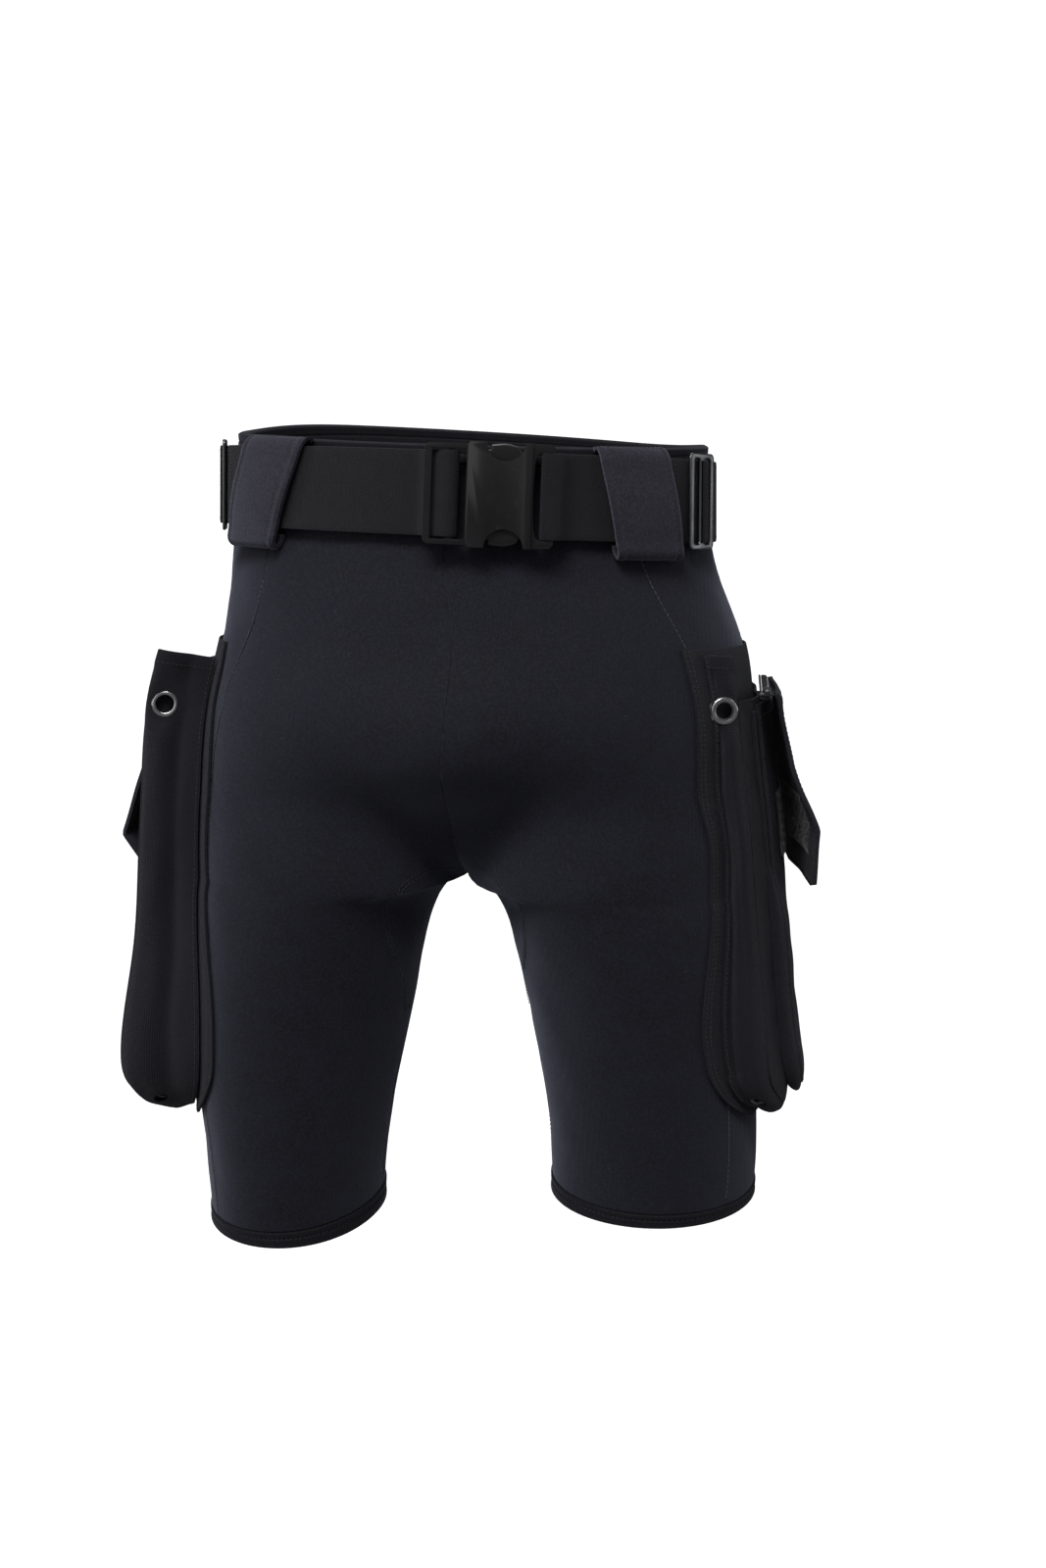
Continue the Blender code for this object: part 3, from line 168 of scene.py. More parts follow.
# k runs down the garment: 0 waist edge, 1 start of the split, 2 crotch, 3 hem
def body_point(k, t):
    """A point of the neoprene's outer face, for the +X half. k and t are arrays."""
    k, t = np.broadcast_arrays(np.asarray(k, float), np.asarray(t, float))
    m = np.clip(np.sin(np.pi * t), 0, 1)
    # upper part
    z1 = waist_top(t) + (Z_SPLIT - waist_top(t)) * np.clip(k, 0, 1)
    # split part
    kap = np.clip(k - 1, 0, 1)
    zs = Z_SPLIT + (Z_CROTCH - Z_SPLIT) * ((1 - m) * np.sin(kap * np.pi / 2) + m * kap)
    # leg part
    lam = np.clip(k - 2, 0, 1)
    zl = Z_CROTCH + (Z_HEM - Z_CROTCH) * ((1 - m) * lam**1.45 + m * lam)
    z = np.where(k <= 1, z1, np.where(k <= 2, zs, zl))
    mb = smooth01(np.minimum(t, 1 - t) / 0.17)
    beta = (1 - mb) * (1 - np.cos(kap * np.pi / 2)) + mb * smooth01(kap)
    c, s_ = np.cos(np.pi * t), np.sin(np.pi * t)
    xt = f_a(z) * s_
    yt = -np.where(c > 0, f_bf(z), f_bb(z)) * c
    xi = f_in(np.sqrt(np.clip(Z_CROTCH - z, 0, None)))
    xo = f_out(z)
    cx, w = (xi + xo) / 2, (xo - xi) / 2
    c2, s2 = np.cos(2 * np.pi * t), np.sin(2 * np.pi * t)
    q = 1.0
    xl = cx - w * np.sign(c2) * np.abs(c2) ** q
    yl = -np.where(s2 > 0, f_hf(z), f_hb(z)) * np.sign(s2) * np.abs(s2) ** q
    x = (1 - beta) * xt + beta * xl
    y = (1 - beta) * yt + beta * yl + 0.003
    # fullness at the lower front, and behind
    front = np.clip(np.cos(np.pi * t), 0, 1) ** 1.5
    y = y - 0.017 * (1 - beta) * front * np.exp(-((z + 0.150) / 0.043) ** 2)
    y = y - (1 - beta) * front**2 * (0.0045 * np.exp(-((z + 0.156) / 0.024) ** 2) - 0.0050 * np.exp(-((z + 0.198) / 0.020) ** 2))
    back = np.clip(-np.cos(np.pi * t + 0.35), 0, 1)
    y = y + 0.008 * (1 - beta) * back * np.exp(-((z + 0.150) / 0.06) ** 2)
    return np.stack([x, y, z], -1)


class Surface:
    """The neoprene's outer face as a fine table of points and normals over (k, t) for the +X half."""

    def __init__(self, nk=150, nt=192):
        self.nk, self.nt = nk, nt
        self.ks = np.linspace(0, 3, nk + 1)
        self.ts = np.linspace(0, 1, nt + 1)
        K, T = np.meshgrid(self.ks, self.ts, indexing="ij")
        P = body_point(K, T)
        E = np.zeros((nk + 1, nt + 3, 3))
        E[:, 1:-1] = P
        leg = self.ks > 2 - 1e-9
        mir = np.array([-1.0, 1, 1])
        E[~leg, 0], E[~leg, -1] = P[~leg, 1] * mir, P[~leg, -2] * mir
        E[leg, 0], E[leg, -1] = P[leg, -2], P[leg, 1]
        dt = E[:, 2:] - E[:, :-2]
        dk = np.gradient(P, axis=0)
        N = np.cross(dk, dt)
        L = np.linalg.norm(N, axis=-1, keepdims=True)
        tip = np.array([0, 0, -1.0])
        d = np.linalg.norm(P - np.array([0, 0, Z_CROTCH]), axis=-1, keepdims=True)
        w = np.exp(-((d / 0.012) ** 2))
        N = np.where(L > 1e-12, N / np.maximum(L, 1e-12), tip) * (1 - w) + tip * w
        # the front of the +X half faces -Y: point the normals out
        for _ in range(6):
            F = np.zeros((nk + 1, nt + 3, 3))
            F[:, 1:-1] = N
            F[~leg, 0], F[~leg, -1] = N[~leg, 1] * mir, N[~leg, -2] * mir
            F[leg, 0], F[leg, -1] = N[leg, -2], N[leg, 1]
            M = (F[:, :-2] + 2 * F[:, 1:-1] + F[:, 2:]) / 4
            G = np.concatenate([M[:1], M, M[-1:]])
            N = (G[:-2] + 2 * G[1:-1] + G[2:]) / 4
            N /= np.maximum(np.linalg.norm(N, axis=-1, keepdims=True), 1e-9)
        self.P, self.N = P, N

    def at(self, side, k, t, off=0.0):
        """Points at (k, t), moved out by off; side +1 is the wearer's left."""
        k, t, off = np.broadcast_arrays(np.asarray(k, float), np.asarray(t, float), np.asarray(off, float))
        leg = k >= 2 - 1e-9
        t = np.where(leg, t % 1.0, t)
        i = np.clip(k / 3 * self.nk, 0, self.nk - 1e-9)
        j = np.clip(t * self.nt, 0, self.nt - 1e-9)
        i0, j0 = i.astype(int), j.astype(int)
        fi, fj = (i - i0)[..., None], (j - j0)[..., None]

        def mix(A):
            return (A[i0, j0] * (1 - fi) * (1 - fj) + A[i0 + 1, j0] * fi * (1 - fj)
                    + A[i0, j0 + 1] * (1 - fi) * fj + A[i0 + 1, j0 + 1] * fi * fj)

        n = mix(self.N)
        n = n / np.maximum(np.linalg.norm(n, axis=-1, keepdims=True), 1e-9)
        p = mix(self.P) + n * off[..., None]
        return p * np.array([side, 1.0, 1.0])


SURF = Surface()


KW = 0.088      # the waistband ends here
KH = 2.960      # the hem band starts here
ROWS = [KW + 0.004, 0.34, 0.53, 0.75, 1.0, 1.30, 1.56, 1.79, 1.90, 2.0, 2.09, 2.18, 2.30, 2.41, 2.53, 2.69, 2.84, KH - 0.002]
G0, G1 = 7, 14  # the crotch gusset spans these rows

f_tg = spline([1.79, 1.90, 2.0, 2.09, 2.18, 2.30, 2.41, 2.53],
              [0.066, 0.122, 0.139, 0.128, 0.112, 0.087, 0.054, 0.028])
f_ts = spline([0, 0.5, 1.0, 1.5, 2.0, 2.5, 3.0], [0.236, 0.262, 0.308, 0.368, 0.390, 0.388, 0.378])


def columns(k):
    """Column positions t for one row: seam lines fall on columns 1, 5, 11 and the ends."""
    g, s = float(f_tg(k)), float(f_ts(k))
    a = [0.0, g] + [g + (s - g) * i / 4 for i in (1, 2, 3)] + [s]
    b = [s + (1 - g - s) * i for i in (0.12, 0.25, 0.40, 0.58, 0.79)] + [1 - g, 1.0]
    return a + b


TC = np.array([columns(k) for k in ROWS])
NC = TC.shape[1] - 1

def around(n):
    """n places around the whole waist: (side, t)."""
    out = []
    for i in range(n):
        u = i / n
        out.append((1, 2 * u) if u < 0.5 else (-1, 2 - 2 * u))
    return out


def k_at(z, t):
    zt = waist_top(t)
    return (z - zt) / (Z_SPLIT - zt)


# (distance outside the neoprene, height): the loop's middle, from its top seam over the belt to its turned-up lower end
LOOP = [(0.0030, 0.0275), (0.0066, 0.0298), (0.0104, 0.0275), (0.0122, 0.0190), (0.0128, 0.0060), (0.0128, -0.0080),
        (0.0116, -0.0210), (0.0100, -0.0320), (0.0076, -0.0395), (0.0050, -0.0405), (0.0030, -0.0380), (0.0030, -0.0320)]
LOOP_T = 0.0025

# ---------------------------------------------------------------- the belt's ring
BELT_YC = 0.003


def ellipse(deg):
    """A point of the belt's inner face and its outward direction; deg from the front, + towards +X."""
    a = math.radians(deg)
    p = np.array([BELT_A * math.sin(a), BELT_YC - BELT_B * math.cos(a)])
    n = np.array([math.sin(a) / BELT_A, -math.cos(a) / BELT_B])
    return p, n / np.linalg.norm(n)


def ring_pt(deg, rho):
    p, n = ellipse(deg)
    return p + n * rho


def frame_at(deg):
    """A rigid frame on the belt: X along it (towards +X in front), Y inward, Z up, origin on the belt's inner face."""
    p, n = ellipse(deg)
    o = warp(np.array([p[0], p[1], 0.0]))
    x = Vector((-n[1], n[0], -n[1] * WAIST_TILT)).normalized()
    y = Vector((-n[0], -n[1], 0)).normalized()
    z = x.cross(y).normalized()
    y = z.cross(x).normalized()
    m = Matrix.Identity(4)
    for r in range(3):
        m[r][0], m[r][1], m[r][2], m[r][3] = x[r], y[r], z[r], o[r]
    return m


BUCKLE_DEG = math.degrees(math.asin(BUCKLE_X / BELT_A))
M_B = frame_at(BUCKLE_DEG)
B_P, B_N = ellipse(BUCKLE_DEG)
B_T = np.array([-B_N[1], B_N[0]])


def buckle_xy(x_mm, y_mm):
    """Plan position of a point of the buckle's frame."""
    return B_P + B_T * x_mm / 1000 + B_N * y_mm / 1000


def fold(cx, cy, r, a0, a1, n=9):
    return [buckle_xy(cx + r * math.cos(math.radians(a)), cy + r * math.sin(math.radians(a))) for a in np.linspace(a0, a1, n)]


TRI_L, TRI_R = 68.0, -80.0      # where the two slide adjusters sit, degrees from the front
L1, L2 = WEB_T / 2 + 0.0001, WEB_T * 1.5 + 0.0004   # middle of the inner and outer layers


def tri_xy(deg, x_mm, y_mm):
    p, n = ellipse(deg)
    t = np.array([-n[1], n[0]])
    return p + t * x_mm / 1000 + n * y_mm / 1000


def by_ring(x_mm, rho_mm):
    """A place on the belt line near the buckle, rho outside the ring's inner face."""
    sag = 1000 * (BELT_B - BELT_B * math.cos(math.asin((BUCKLE_X + x_mm / 1000) / BELT_A)))
    return np.array([BUCKLE_X + x_mm / 1000, BELT_YC - BELT_B + sag / 1000 - rho_mm / 1000])


def front_strap(name, tri, s, stop, hair):
    """Doubled webbing between an adjuster and the buckle: round the adjuster's bar, out to the buckle, round its bar, and back."""
    y_fold = [(-0.5 * s, 7.35), (3.6 * s, 7.2), (5.6 * s, 5.0), (5.0 * s, 2.9), (1.0 * s, 2.45)]
    line = [tri_xy(tri, x, y) for x, y in y_fold]
    start = s * tri - 5.5
    n = 14
    out = [ring_pt(s * (start + (stop - start) * i / n), L2) for i in range(n + 1)]
    back = [ring_pt(s * (stop + (start + 12 - stop) * i / n), L1) for i in range(n + 1)]
    return strap(name, line + out + hair + back)

def prism(bm, outline, y0, y1):
    """Extrudes an (x, z) outline from y0 to y1."""
    a = [bm.verts.new((x, y0, z)) for x, z in outline]
    b = [bm.verts.new((x, y1, z)) for x, z in outline]
    bm.faces.new(a)
    bm.faces.new(b[::-1])
    n = len(outline)
    for i in range(n):
        bm.faces.new((a[i], a[(i + 1) % n], b[(i + 1) % n], b[i]))


def box(bm, x0, x1, y0, y1, z0, z1):
    prism(bm, [(x0, z0), (x1, z0), (x1, z1), (x0, z1)], y0, y1)


def round_rect(x0, x1, z0, z1, r, n=4):
    out = []
    for cx, cz, a0 in ((x1 - r, z1 - r, 0), (x0 + r, z1 - r, 90), (x0 + r, z0 + r, 180), (x1 - r, z0 + r, 270)):
        out += [(cx + r * math.cos(math.radians(a0 + 90 * i / n)), cz + r * math.sin(math.radians(a0 + 90 * i / n))) for i in range(n + 1)]
    return out


PY_C, PY_H = (PKT_YF + PKT_YB) / 2, (PKT_YB - PKT_YF) / 2
f_xi = spline([-0.380, -0.335, -0.280, -0.2265, -0.170, -0.130, -0.098], [0.1905, 0.1910, 0.1872, 0.1832, 0.1785, 0.1712, 0.1650])
f_xo = spline([-0.378, -0.355, -0.320, -0.280, -0.235, -0.200, -0.160, -0.125], [0.2060, 0.2076, 0.2038, 0.2007, 0.1965, 0.1932, 0.1890, 0.1845])


# on the wearer's right the pocket's front edge is rolled further out
f_roll = spline([-0.380, -0.365, -0.345, -0.310, -0.280, -0.2265, -0.170, -0.130, -0.098], [0.0040, 0.0125, 0.0180, 0.0150, 0.0130, 0.0155, 0.0180, 0.0210, 0.0220])
OUT_YF, OUT_YB = -0.036, 0.073      # the outer compartment's front and back walls


def face_in(y, z, side=1):
    """x of the inner compartment's outer face."""
    x = float(f_xi(z)) + 0.007 * (1 - ((y - PY_C) / PY_H) ** 2)
    return x + (float(f_roll(z)) * math.exp(-(((y - PKT_YF) / 0.012) ** 2)) if side < 0 else 0.0)


def face_out(y, z):
    """x of the outer compartment's outer face."""
    return float(f_xo(z)) - 0.003 * ((y - PY_C) / PY_H) ** 2


def mirror(a, side):
    return np.asarray(a, float) * np.array([side, 1.0, 1.0])


def tuck(y, z):
    """How far the front wall's seam to the backing sits behind its outer edge."""
    return 0.008 * math.exp(-(((z + 0.245) / 0.055) ** 4)) if y < PKT_YF + 0.001 else 0.0


def frame_from(o, x, y):
    """A frame with origin o, X near x and Y along y (both mirrored already)."""
    y = Vector(y).normalized()
    z = Vector(x).cross(y).normalized()
    x = y.cross(z).normalized()
    m = Matrix.Identity(4)
    for r in range(3):
        m[r][0], m[r][1], m[r][2], m[r][3] = x[r], y[r], z[r], o[r]
    return m


HEM_Z = -0.101
EYE_Z, DRAIN_R = -0.1275, 0.035
FLAP_X, FLAP_Z = 0.1900, -0.1162     # the flap's hinge line
f_flare = lambda z: np.interp(z, [-0.2335, -0.1990, -0.1610, -0.1300, -0.1160], [0.0150, 0.0205, 0.0085, 0.0030, 0.0020])


def flap_in(y, z):
    """x of the flap's inner face."""
    w = 1 - 0.88 * (y + 0.034) / 0.108
    return face_out(y, min(z, -0.1255)) + (min(z, -0.1255) - z) * 0.12 + 0.0036 + float(f_flare(z)) * w * (0.0 if z > -0.117 else 1.0)



# ---------------------------------------------------------------- where the row frame is
def cad_waistband():
    pts = [SURF.at(s, k, t, off) for s, t in around(56) for k in (0.0, KW / 2, KW) for off in (0.0006, -NEO_T - 0.0006)]
    return warp(np.array(pts)).min(0)


SHIFT = np.array(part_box("waistband")[0]) - cad_waistband()


# ---------------------------------------------------------------- materials
def nodes_of(name, rgb, rough, metal=0.0):
    m = bpy.data.materials.new(name)
    m.use_nodes = True
    nt = m.node_tree
    b = nt.nodes["Principled BSDF"]
    b.inputs["Base Color"].default_value = (*rgb, 1)
    b.inputs["Roughness"].default_value = rough
    b.inputs["Metallic"].default_value = metal
    return m, nt, b


class Tree:
    """Short calls for building a node tree."""

    def __init__(self, nt):
        self.nt = nt

    def new(self, kind, **kw):
        n = self.nt.nodes.new(kind)
        for k, v in kw.items():
            setattr(n, k, v)
        return n

    def link(self, a, b):
        self.nt.links.new(a, b)

    def put(self, sock, v):
        if hasattr(v, "node"):
            self.link(v, sock)
        else:
            sock.default_value = v

    def math(self, op, a, b=0.0, c=0.0, clamp=False):
        n = self.new("ShaderNodeMath", operation=op, use_clamp=clamp)
        for s, v in zip(n.inputs, (a, b, c)):
            self.put(s, v)
        return n.outputs[0]

    def mix(self, f, a, b):
        n = self.new("ShaderNodeMix", data_type="RGBA")
        self.put(n.inputs[0], f)
        for s, v in ((n.inputs[6], a), (n.inputs[7], b)):
            if hasattr(v, "node"):
                self.link(v, s)
            else:
                s.default_value = (*v, 1) if len(v) == 3 else v
        return n.outputs[2]

    def noise(self, scale, detail=3.0, rough=0.5, vec=None):
        n = self.new("ShaderNodeTexNoise")
        n.inputs["Scale"].default_value = scale
        n.inputs["Detail"].default_value = detail
        n.inputs["Roughness"].default_value = rough
        self.link(vec if vec is not None else self.coord(), n.inputs["Vector"])
        return n.outputs["Fac"]

    def coord(self):
        if not hasattr(self, "_c"):
            self._c = self.new("ShaderNodeTexCoord")
        return self._c.outputs["Object"]

    def uv(self):
        if not hasattr(self, "_u"):
            n = self.new("ShaderNodeUVMap", uv_map="weave")
            s = self.new("ShaderNodeSeparateXYZ")
            self.link(n.outputs[0], s.inputs[0])
            self._u = (s.outputs[0], s.outputs[1])
        return self._u

    def remap(self, v, a, b, c, d):
        n = self.new("ShaderNodeMapRange")
        self.put(n.inputs[0], v)
        for i, x in zip((1, 2, 3, 4), (a, b, c, d)):
            n.inputs[i].default_value = x
        return n.outputs[0]

    def bump(self, h, dist, strength=1.0, normal=None):
        n = self.new("ShaderNodeBump")
        n.inputs["Strength"].default_value = strength
        n.inputs["Distance"].default_value = dist
        self.link(h, n.inputs["Height"])
        if normal is not None:
            self.link(normal, n.inputs["Normal"])
        return n.outputs[0]


def edge_wear(t, lo=0.51, hi=0.58):
    """1 on convex edges, 0 elsewhere."""
    g = t.new("ShaderNodeNewGeometry")
    return t.remap(g.outputs["Pointiness"], lo, hi, 0.0, 1.0)


def jersey(name, rgb, light, sheen=0.30):
    """Nylon jersey bonded on neoprene: a very fine knit, soft sheen, faint mottling and a little lint."""
    m, nt, b = nodes_of(name, rgb, 0.8)
    t = Tree(nt)
    big = t.noise(7.0, 3.0, 0.55)
    mid = t.noise(60.0, 3.0, 0.6)
    knit = t.noise(1500.0, 2.0, 0.5)
    rows = t.new("ShaderNodeTexWave", wave_type="BANDS", bands_direction="X")
    rows.inputs["Scale"].default_value = 420.0
    rows.inputs["Distortion"].default_value = 1.2
    rows.inputs["Detail"].default_value = 1.0
    rows.inputs["Detail Scale"].default_value = 3.0
    t.link(t.coord(), rows.inputs["Vector"])
    col = t.mix(t.remap(big, 0.35, 0.68, 0.0, 1.0), rgb, light)
    col = t.mix(t.remap(mid, 0.42, 0.72, 0.0, 0.55), col, tuple(c * 1.6 for c in light))
    col = t.mix(t.remap(knit, 0.42, 0.62, 0.45, 0.0), col, tuple(c * 0.45 for c in rgb))
    grain = t.noise(620.0, 2.0, 0.6)
    col = t.mix(t.remap(grain, 0.42, 0.66, 0.0, 0.42), col, tuple(c * 2.1 for c in light))
    lint = t.new("ShaderNodeTexVoronoi")
    lint.inputs["Scale"].default_value = 62.0
    t.link(t.coord(), lint.inputs["Vector"])
    col = t.mix(t.remap(lint.outputs["Distance"], 0.035, 0.020, 0.0, 0.55), col, (0.085, 0.085, 0.10))
    t.link(col, b.inputs["Base Color"])
    t.put(b.inputs["Roughness"], t.remap(mid, 0.3, 0.7, 0.72, 0.88))
    b.inputs["Specular IOR Level"].default_value = 0.28
    b.inputs["Sheen Weight"].default_value = sheen
    b.inputs["Sheen Roughness"].default_value = 0.42
    b.inputs["Sheen Tint"].default_value = (0.74, 0.78, 1.0, 1)
    h = t.math("ADD", t.math("MULTIPLY", knit, 0.7), t.math("MULTIPLY", rows.outputs["Fac"], 0.5))
    h = t.math("ADD", h, t.math("MULTIPLY", mid, 0.8))
    t.link(t.bump(h, 0.00022, 0.85), b.inputs["Normal"])
    return m


def woven(name, rgb, light, pitch_u, pitch_v, diagonal=False, depth=0.00025, rough=0.7, sheen=0.18, edge_band=False):
    """Plain or diagonal weave laid out along the piece's own length and width."""
    m, nt, b = nodes_of(name, rgb, rough)
    t = Tree(nt)
    u, v = t.uv()
    if diagonal:
        a, c = t.math("ADD", u, v), t.math("SUBTRACT", u, v)
    else:
        a, c = u, v
    sa = t.math("SINE", t.math("MULTIPLY", a, 2 * math.pi / pitch_u))
    sc = t.math("SINE", t.math("MULTIPLY", c, 2 * math.pi / pitch_v))
    check = t.math("MULTIPLY", sa, sc)
    ribs = t.math("ABSOLUTE", sa)
    h = t.math("ADD", t.math("MULTIPLY", check, 0.5), t.math("MULTIPLY", ribs, 0.45))
    yarn = t.noise(2600.0, 2.0, 0.5)
    big = t.noise(14.0, 3.0, 0.6)
    h = t.math("ADD", h, t.math("MULTIPLY", yarn, 0.5))
    col = t.mix(t.remap(check, -0.7, 0.7, 0.0, 1.0), rgb, light)
    col = t.mix(t.remap(big, 0.35, 0.7, 0.0, 0.5), col, tuple(x * 0.75 for x in rgb))
    col = t.mix(t.remap(yarn, 0.6, 0.75, 0.0, 0.35), col, tuple(x * 1.9 for x in light))
    t.link(col, b.inputs["Base Color"])
    t.put(b.inputs["Roughness"], t.remap(check, -0.8, 0.8, min(1.0, rough + 0.16), rough - 0.06))
    b.inputs["Specular IOR Level"].default_value = 0.40
    b.inputs["Sheen Weight"].default_value = sheen
    b.inputs["Sheen Roughness"].default_value = 0.5
    b.inputs["Sheen Tint"].default_value = (0.85, 0.87, 1.0, 1)
    t.link(t.bump(h, depth, 0.9), b.inputs["Normal"])
    return m


def moulded(name, rgb, rough):
    """Semi-gloss moulded plastic: a fine grain, faint flow marks, and paler scuffs in patches."""
    m, nt, b = nodes_of(name, rgb, rough)
    t = Tree(nt)
    grain = t.noise(1400.0, 3.0, 0.6)
    flow = t.noise(40.0, 4.0, 0.6)
    scuff = t.noise(220.0, 5.0, 0.7)
    w = t.remap(scuff, 0.58, 0.72, 0.0, 0.20)
    col = t.mix(t.remap(flow, 0.35, 0.7, 0.0, 0.25), rgb, tuple(c * 1.4 for c in rgb))
    col = t.mix(t.math("MULTIPLY", w, 0.6), col, (0.085, 0.085, 0.090))
    t.link(col, b.inputs["Base Color"])
    r = t.math("ADD", t.remap(flow, 0.3, 0.7, rough - 0.02, rough + 0.03), t.math("MULTIPLY", w, 0.06))
    t.put(b.inputs["Roughness"], r)
    h = t.math("ADD", t.math("MULTIPLY", grain, 0.5), t.math("MULTIPLY", flow, 0.10))
    t.link(t.bump(h, 0.00005, 0.5), b.inputs["Normal"])
    b.inputs["Coat Weight"].default_value = 0.35
    b.inputs["Coat Roughness"].default_value = 0.12
    return m


def plated(name, rgb, rough, coat=0.0):
    """Plated metal: brushed by handling, duller in patches, brighter in other patches."""
    m, nt, b = nodes_of(name, rgb, rough, 1.0)
    t = Tree(nt)
    patch = t.noise(90.0, 4.0, 0.6)
    fine = t.noise(900.0, 3.0, 0.6)
    w = t.remap(patch, 0.60, 0.75, 0.0, 0.25)
    col = t.mix(t.remap(patch, 0.4, 0.75, 0.0, 0.6), rgb, tuple(c * 0.72 for c in rgb))
    col = t.mix(t.math("MULTIPLY", w, 0.5), col, tuple(min(1.0, c * 1.6 + 0.05) for c in rgb))
    t.link(col, b.inputs["Base Color"])
    t.put(b.inputs["Roughness"], t.math("ADD", t.remap(patch, 0.3, 0.7, rough - 0.05, rough + 0.10), t.math("MULTIPLY", fine, 0.05)))
    t.link(t.bump(fine, 0.00003, 0.4), b.inputs["Normal"])
    b.inputs["Coat Weight"].default_value = coat
    return m


def pile(name, rgb, light):
    """Hook and loop pile: mottled and rough."""
    m, nt, b = nodes_of(name, rgb, 0.95)
    t = Tree(nt)
    v = t.new("ShaderNodeTexVoronoi")
    v.inputs["Scale"].default_value = 900.0
    t.link(t.coord(), v.inputs["Vector"])
    n = t.noise(260.0, 4.0, 0.7)
    col = t.mix(t.remap(v.outputs["Distance"], 0.1, 0.6, 0.0, 1.0), light, rgb)
    col = t.mix(t.remap(n, 0.45, 0.65, 0.0, 0.7), col, tuple(c * 1.7 for c in light))
    t.link(col, b.inputs["Base Color"])
    h = t.math("ADD", t.math("MULTIPLY", v.outputs["Distance"], 0.8), n)
    t.link(t.bump(h, 0.0006, 1.0), b.inputs["Normal"])
    b.inputs["Sheen Weight"].default_value = 0.25
    return m


def yarn(name, rgb):
    m, nt, b = nodes_of(name, rgb, 0.55)
    t = Tree(nt)
    w = t.noise(3000.0, 2.0, 0.5)
    t.link(t.mix(t.remap(w, 0.35, 0.65, 0.0, 1.0), tuple(c * 0.6 for c in rgb), tuple(c * 1.4 for c in rgb)), b.inputs["Base Color"])
    t.link(t.bump(w, 0.00008, 0.8), b.inputs["Normal"])
    b.inputs["Sheen Weight"].default_value = 0.2
    return m


NEO = jersey("neoprene_jersey", (0.0068, 0.0068, 0.0122), (0.0116, 0.0117, 0.0204))
NEO_IN = jersey("neoprene_lining", (0.0090, 0.0092, 0.0115), (0.013, 0.013, 0.016), 0.2)
NEO_EDGE = jersey("neoprene_folded_band", (0.0046, 0.0046, 0.0074), (0.0074, 0.0073, 0.0110), 0.12)
# the belt loops get a paler copy of the jersey than the shorts and bands: painted light, standing for the light that
# the raised loops catch
NEO_LOOP_PAINTED_LIT = jersey("neoprene_loop_painted_lit", (0.0190, 0.0172, 0.0255), (0.0300, 0.0276, 0.0395), 0.38)
WEB = woven("belt_weave", (0.0022, 0.0022, 0.0030), (0.0115, 0.0115, 0.0152), 0.0017, 0.0021, depth=0.00045, rough=0.68, sheen=0.08)
FAB = woven("pocket_oxford", (0.0028, 0.0028, 0.0050), (0.0165, 0.0163, 0.0262), 0.0019, 0.0019, diagonal=True, depth=0.00046, rough=0.72, sheen=0.10)
TAPE = woven("binding_tape", (0.0075, 0.0075, 0.0085), (0.0165, 0.0165, 0.0185), 0.0011, 0.0030, depth=0.0002, rough=0.8)
PLASTIC = moulded("buckle_moulded_plastic", (0.0118, 0.0118, 0.0130), 0.24)
METAL = plated("nickel_plate", (0.62, 0.62, 0.63), 0.20)
DARKMETAL = plated("black_nickel", (0.165, 0.17, 0.18), 0.26, 0.20)
HOOK = pile("hook_and_loop_pile", (0.0030, 0.0030, 0.0038), (0.0100, 0.0100, 0.0118))
THREAD = yarn("sewing_thread", (0.024, 0.024, 0.029))
# a paler thread, used for the side seams
THREAD_LIGHT = yarn("seam_thread_pale", (0.085, 0.085, 0.098))


# ---------------------------------------------------------------- mesh builders
def build(name, verts, faces, mat, uvs=None, body=None, nodes=(), smooth=50.0, do_warp=True, bevel=0.0, seg=2, angle=50.0, ride=True):
    """A mesh in the row frame, riding on its body and standing for its CAD nodes."""
    v = np.asarray(verts, float)
    if do_warp:
        v = warp(v)
    v = v + SHIFT
    me = bpy.data.meshes.new(name)
    me.from_pydata(v.tolist(), [], faces)
    if uvs is not None:
        lay = me.uv_layers.new(name="weave")
        lay.data.foreach_set("uv", np.asarray(uvs, np.float32).ravel())
    bm = bmesh.new()
    bm.from_mesh(me)
    bmesh.ops.recalc_face_normals(bm, faces=bm.faces)
    if bm.calc_volume(signed=True) < 0:
        bmesh.ops.reverse_faces(bm, faces=bm.faces)
    bm.to_mesh(me)
    bm.free()
    me.materials.append(mat)
    me.shade_smooth()
    me.set_sharp_from_angle(angle=math.radians(smooth))
    ob = bpy.data.objects.new(name, me)
    bpy.context.scene.collection.objects.link(ob)
    if bevel:
        b = ob.modifiers.new("rounded_rim", "BEVEL")
        b.width, b.segments, b.limit_method, b.angle_limit = bevel, seg, "ANGLE", math.radians(angle)
        b.use_clamp_overlap = True
    if ride:
        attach(ob, body or ROOT)
    if nodes:
        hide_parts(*nodes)
    return ob


def spans(P, wrap_u, wrap_v):
    """Distances along a grid's two directions, for the weave."""
    a = np.concatenate([P, P[:1]]) if wrap_u else P
    du = np.linalg.norm(np.diff(a, axis=0), axis=-1).mean(1)
    b = np.concatenate([P, P[:, :1]], axis=1) if wrap_v else P
    dv = np.linalg.norm(np.diff(b, axis=1), axis=-1).mean(0)
    return np.concatenate([[0], np.cumsum(du)]), np.concatenate([[0], np.cumsum(dv)])


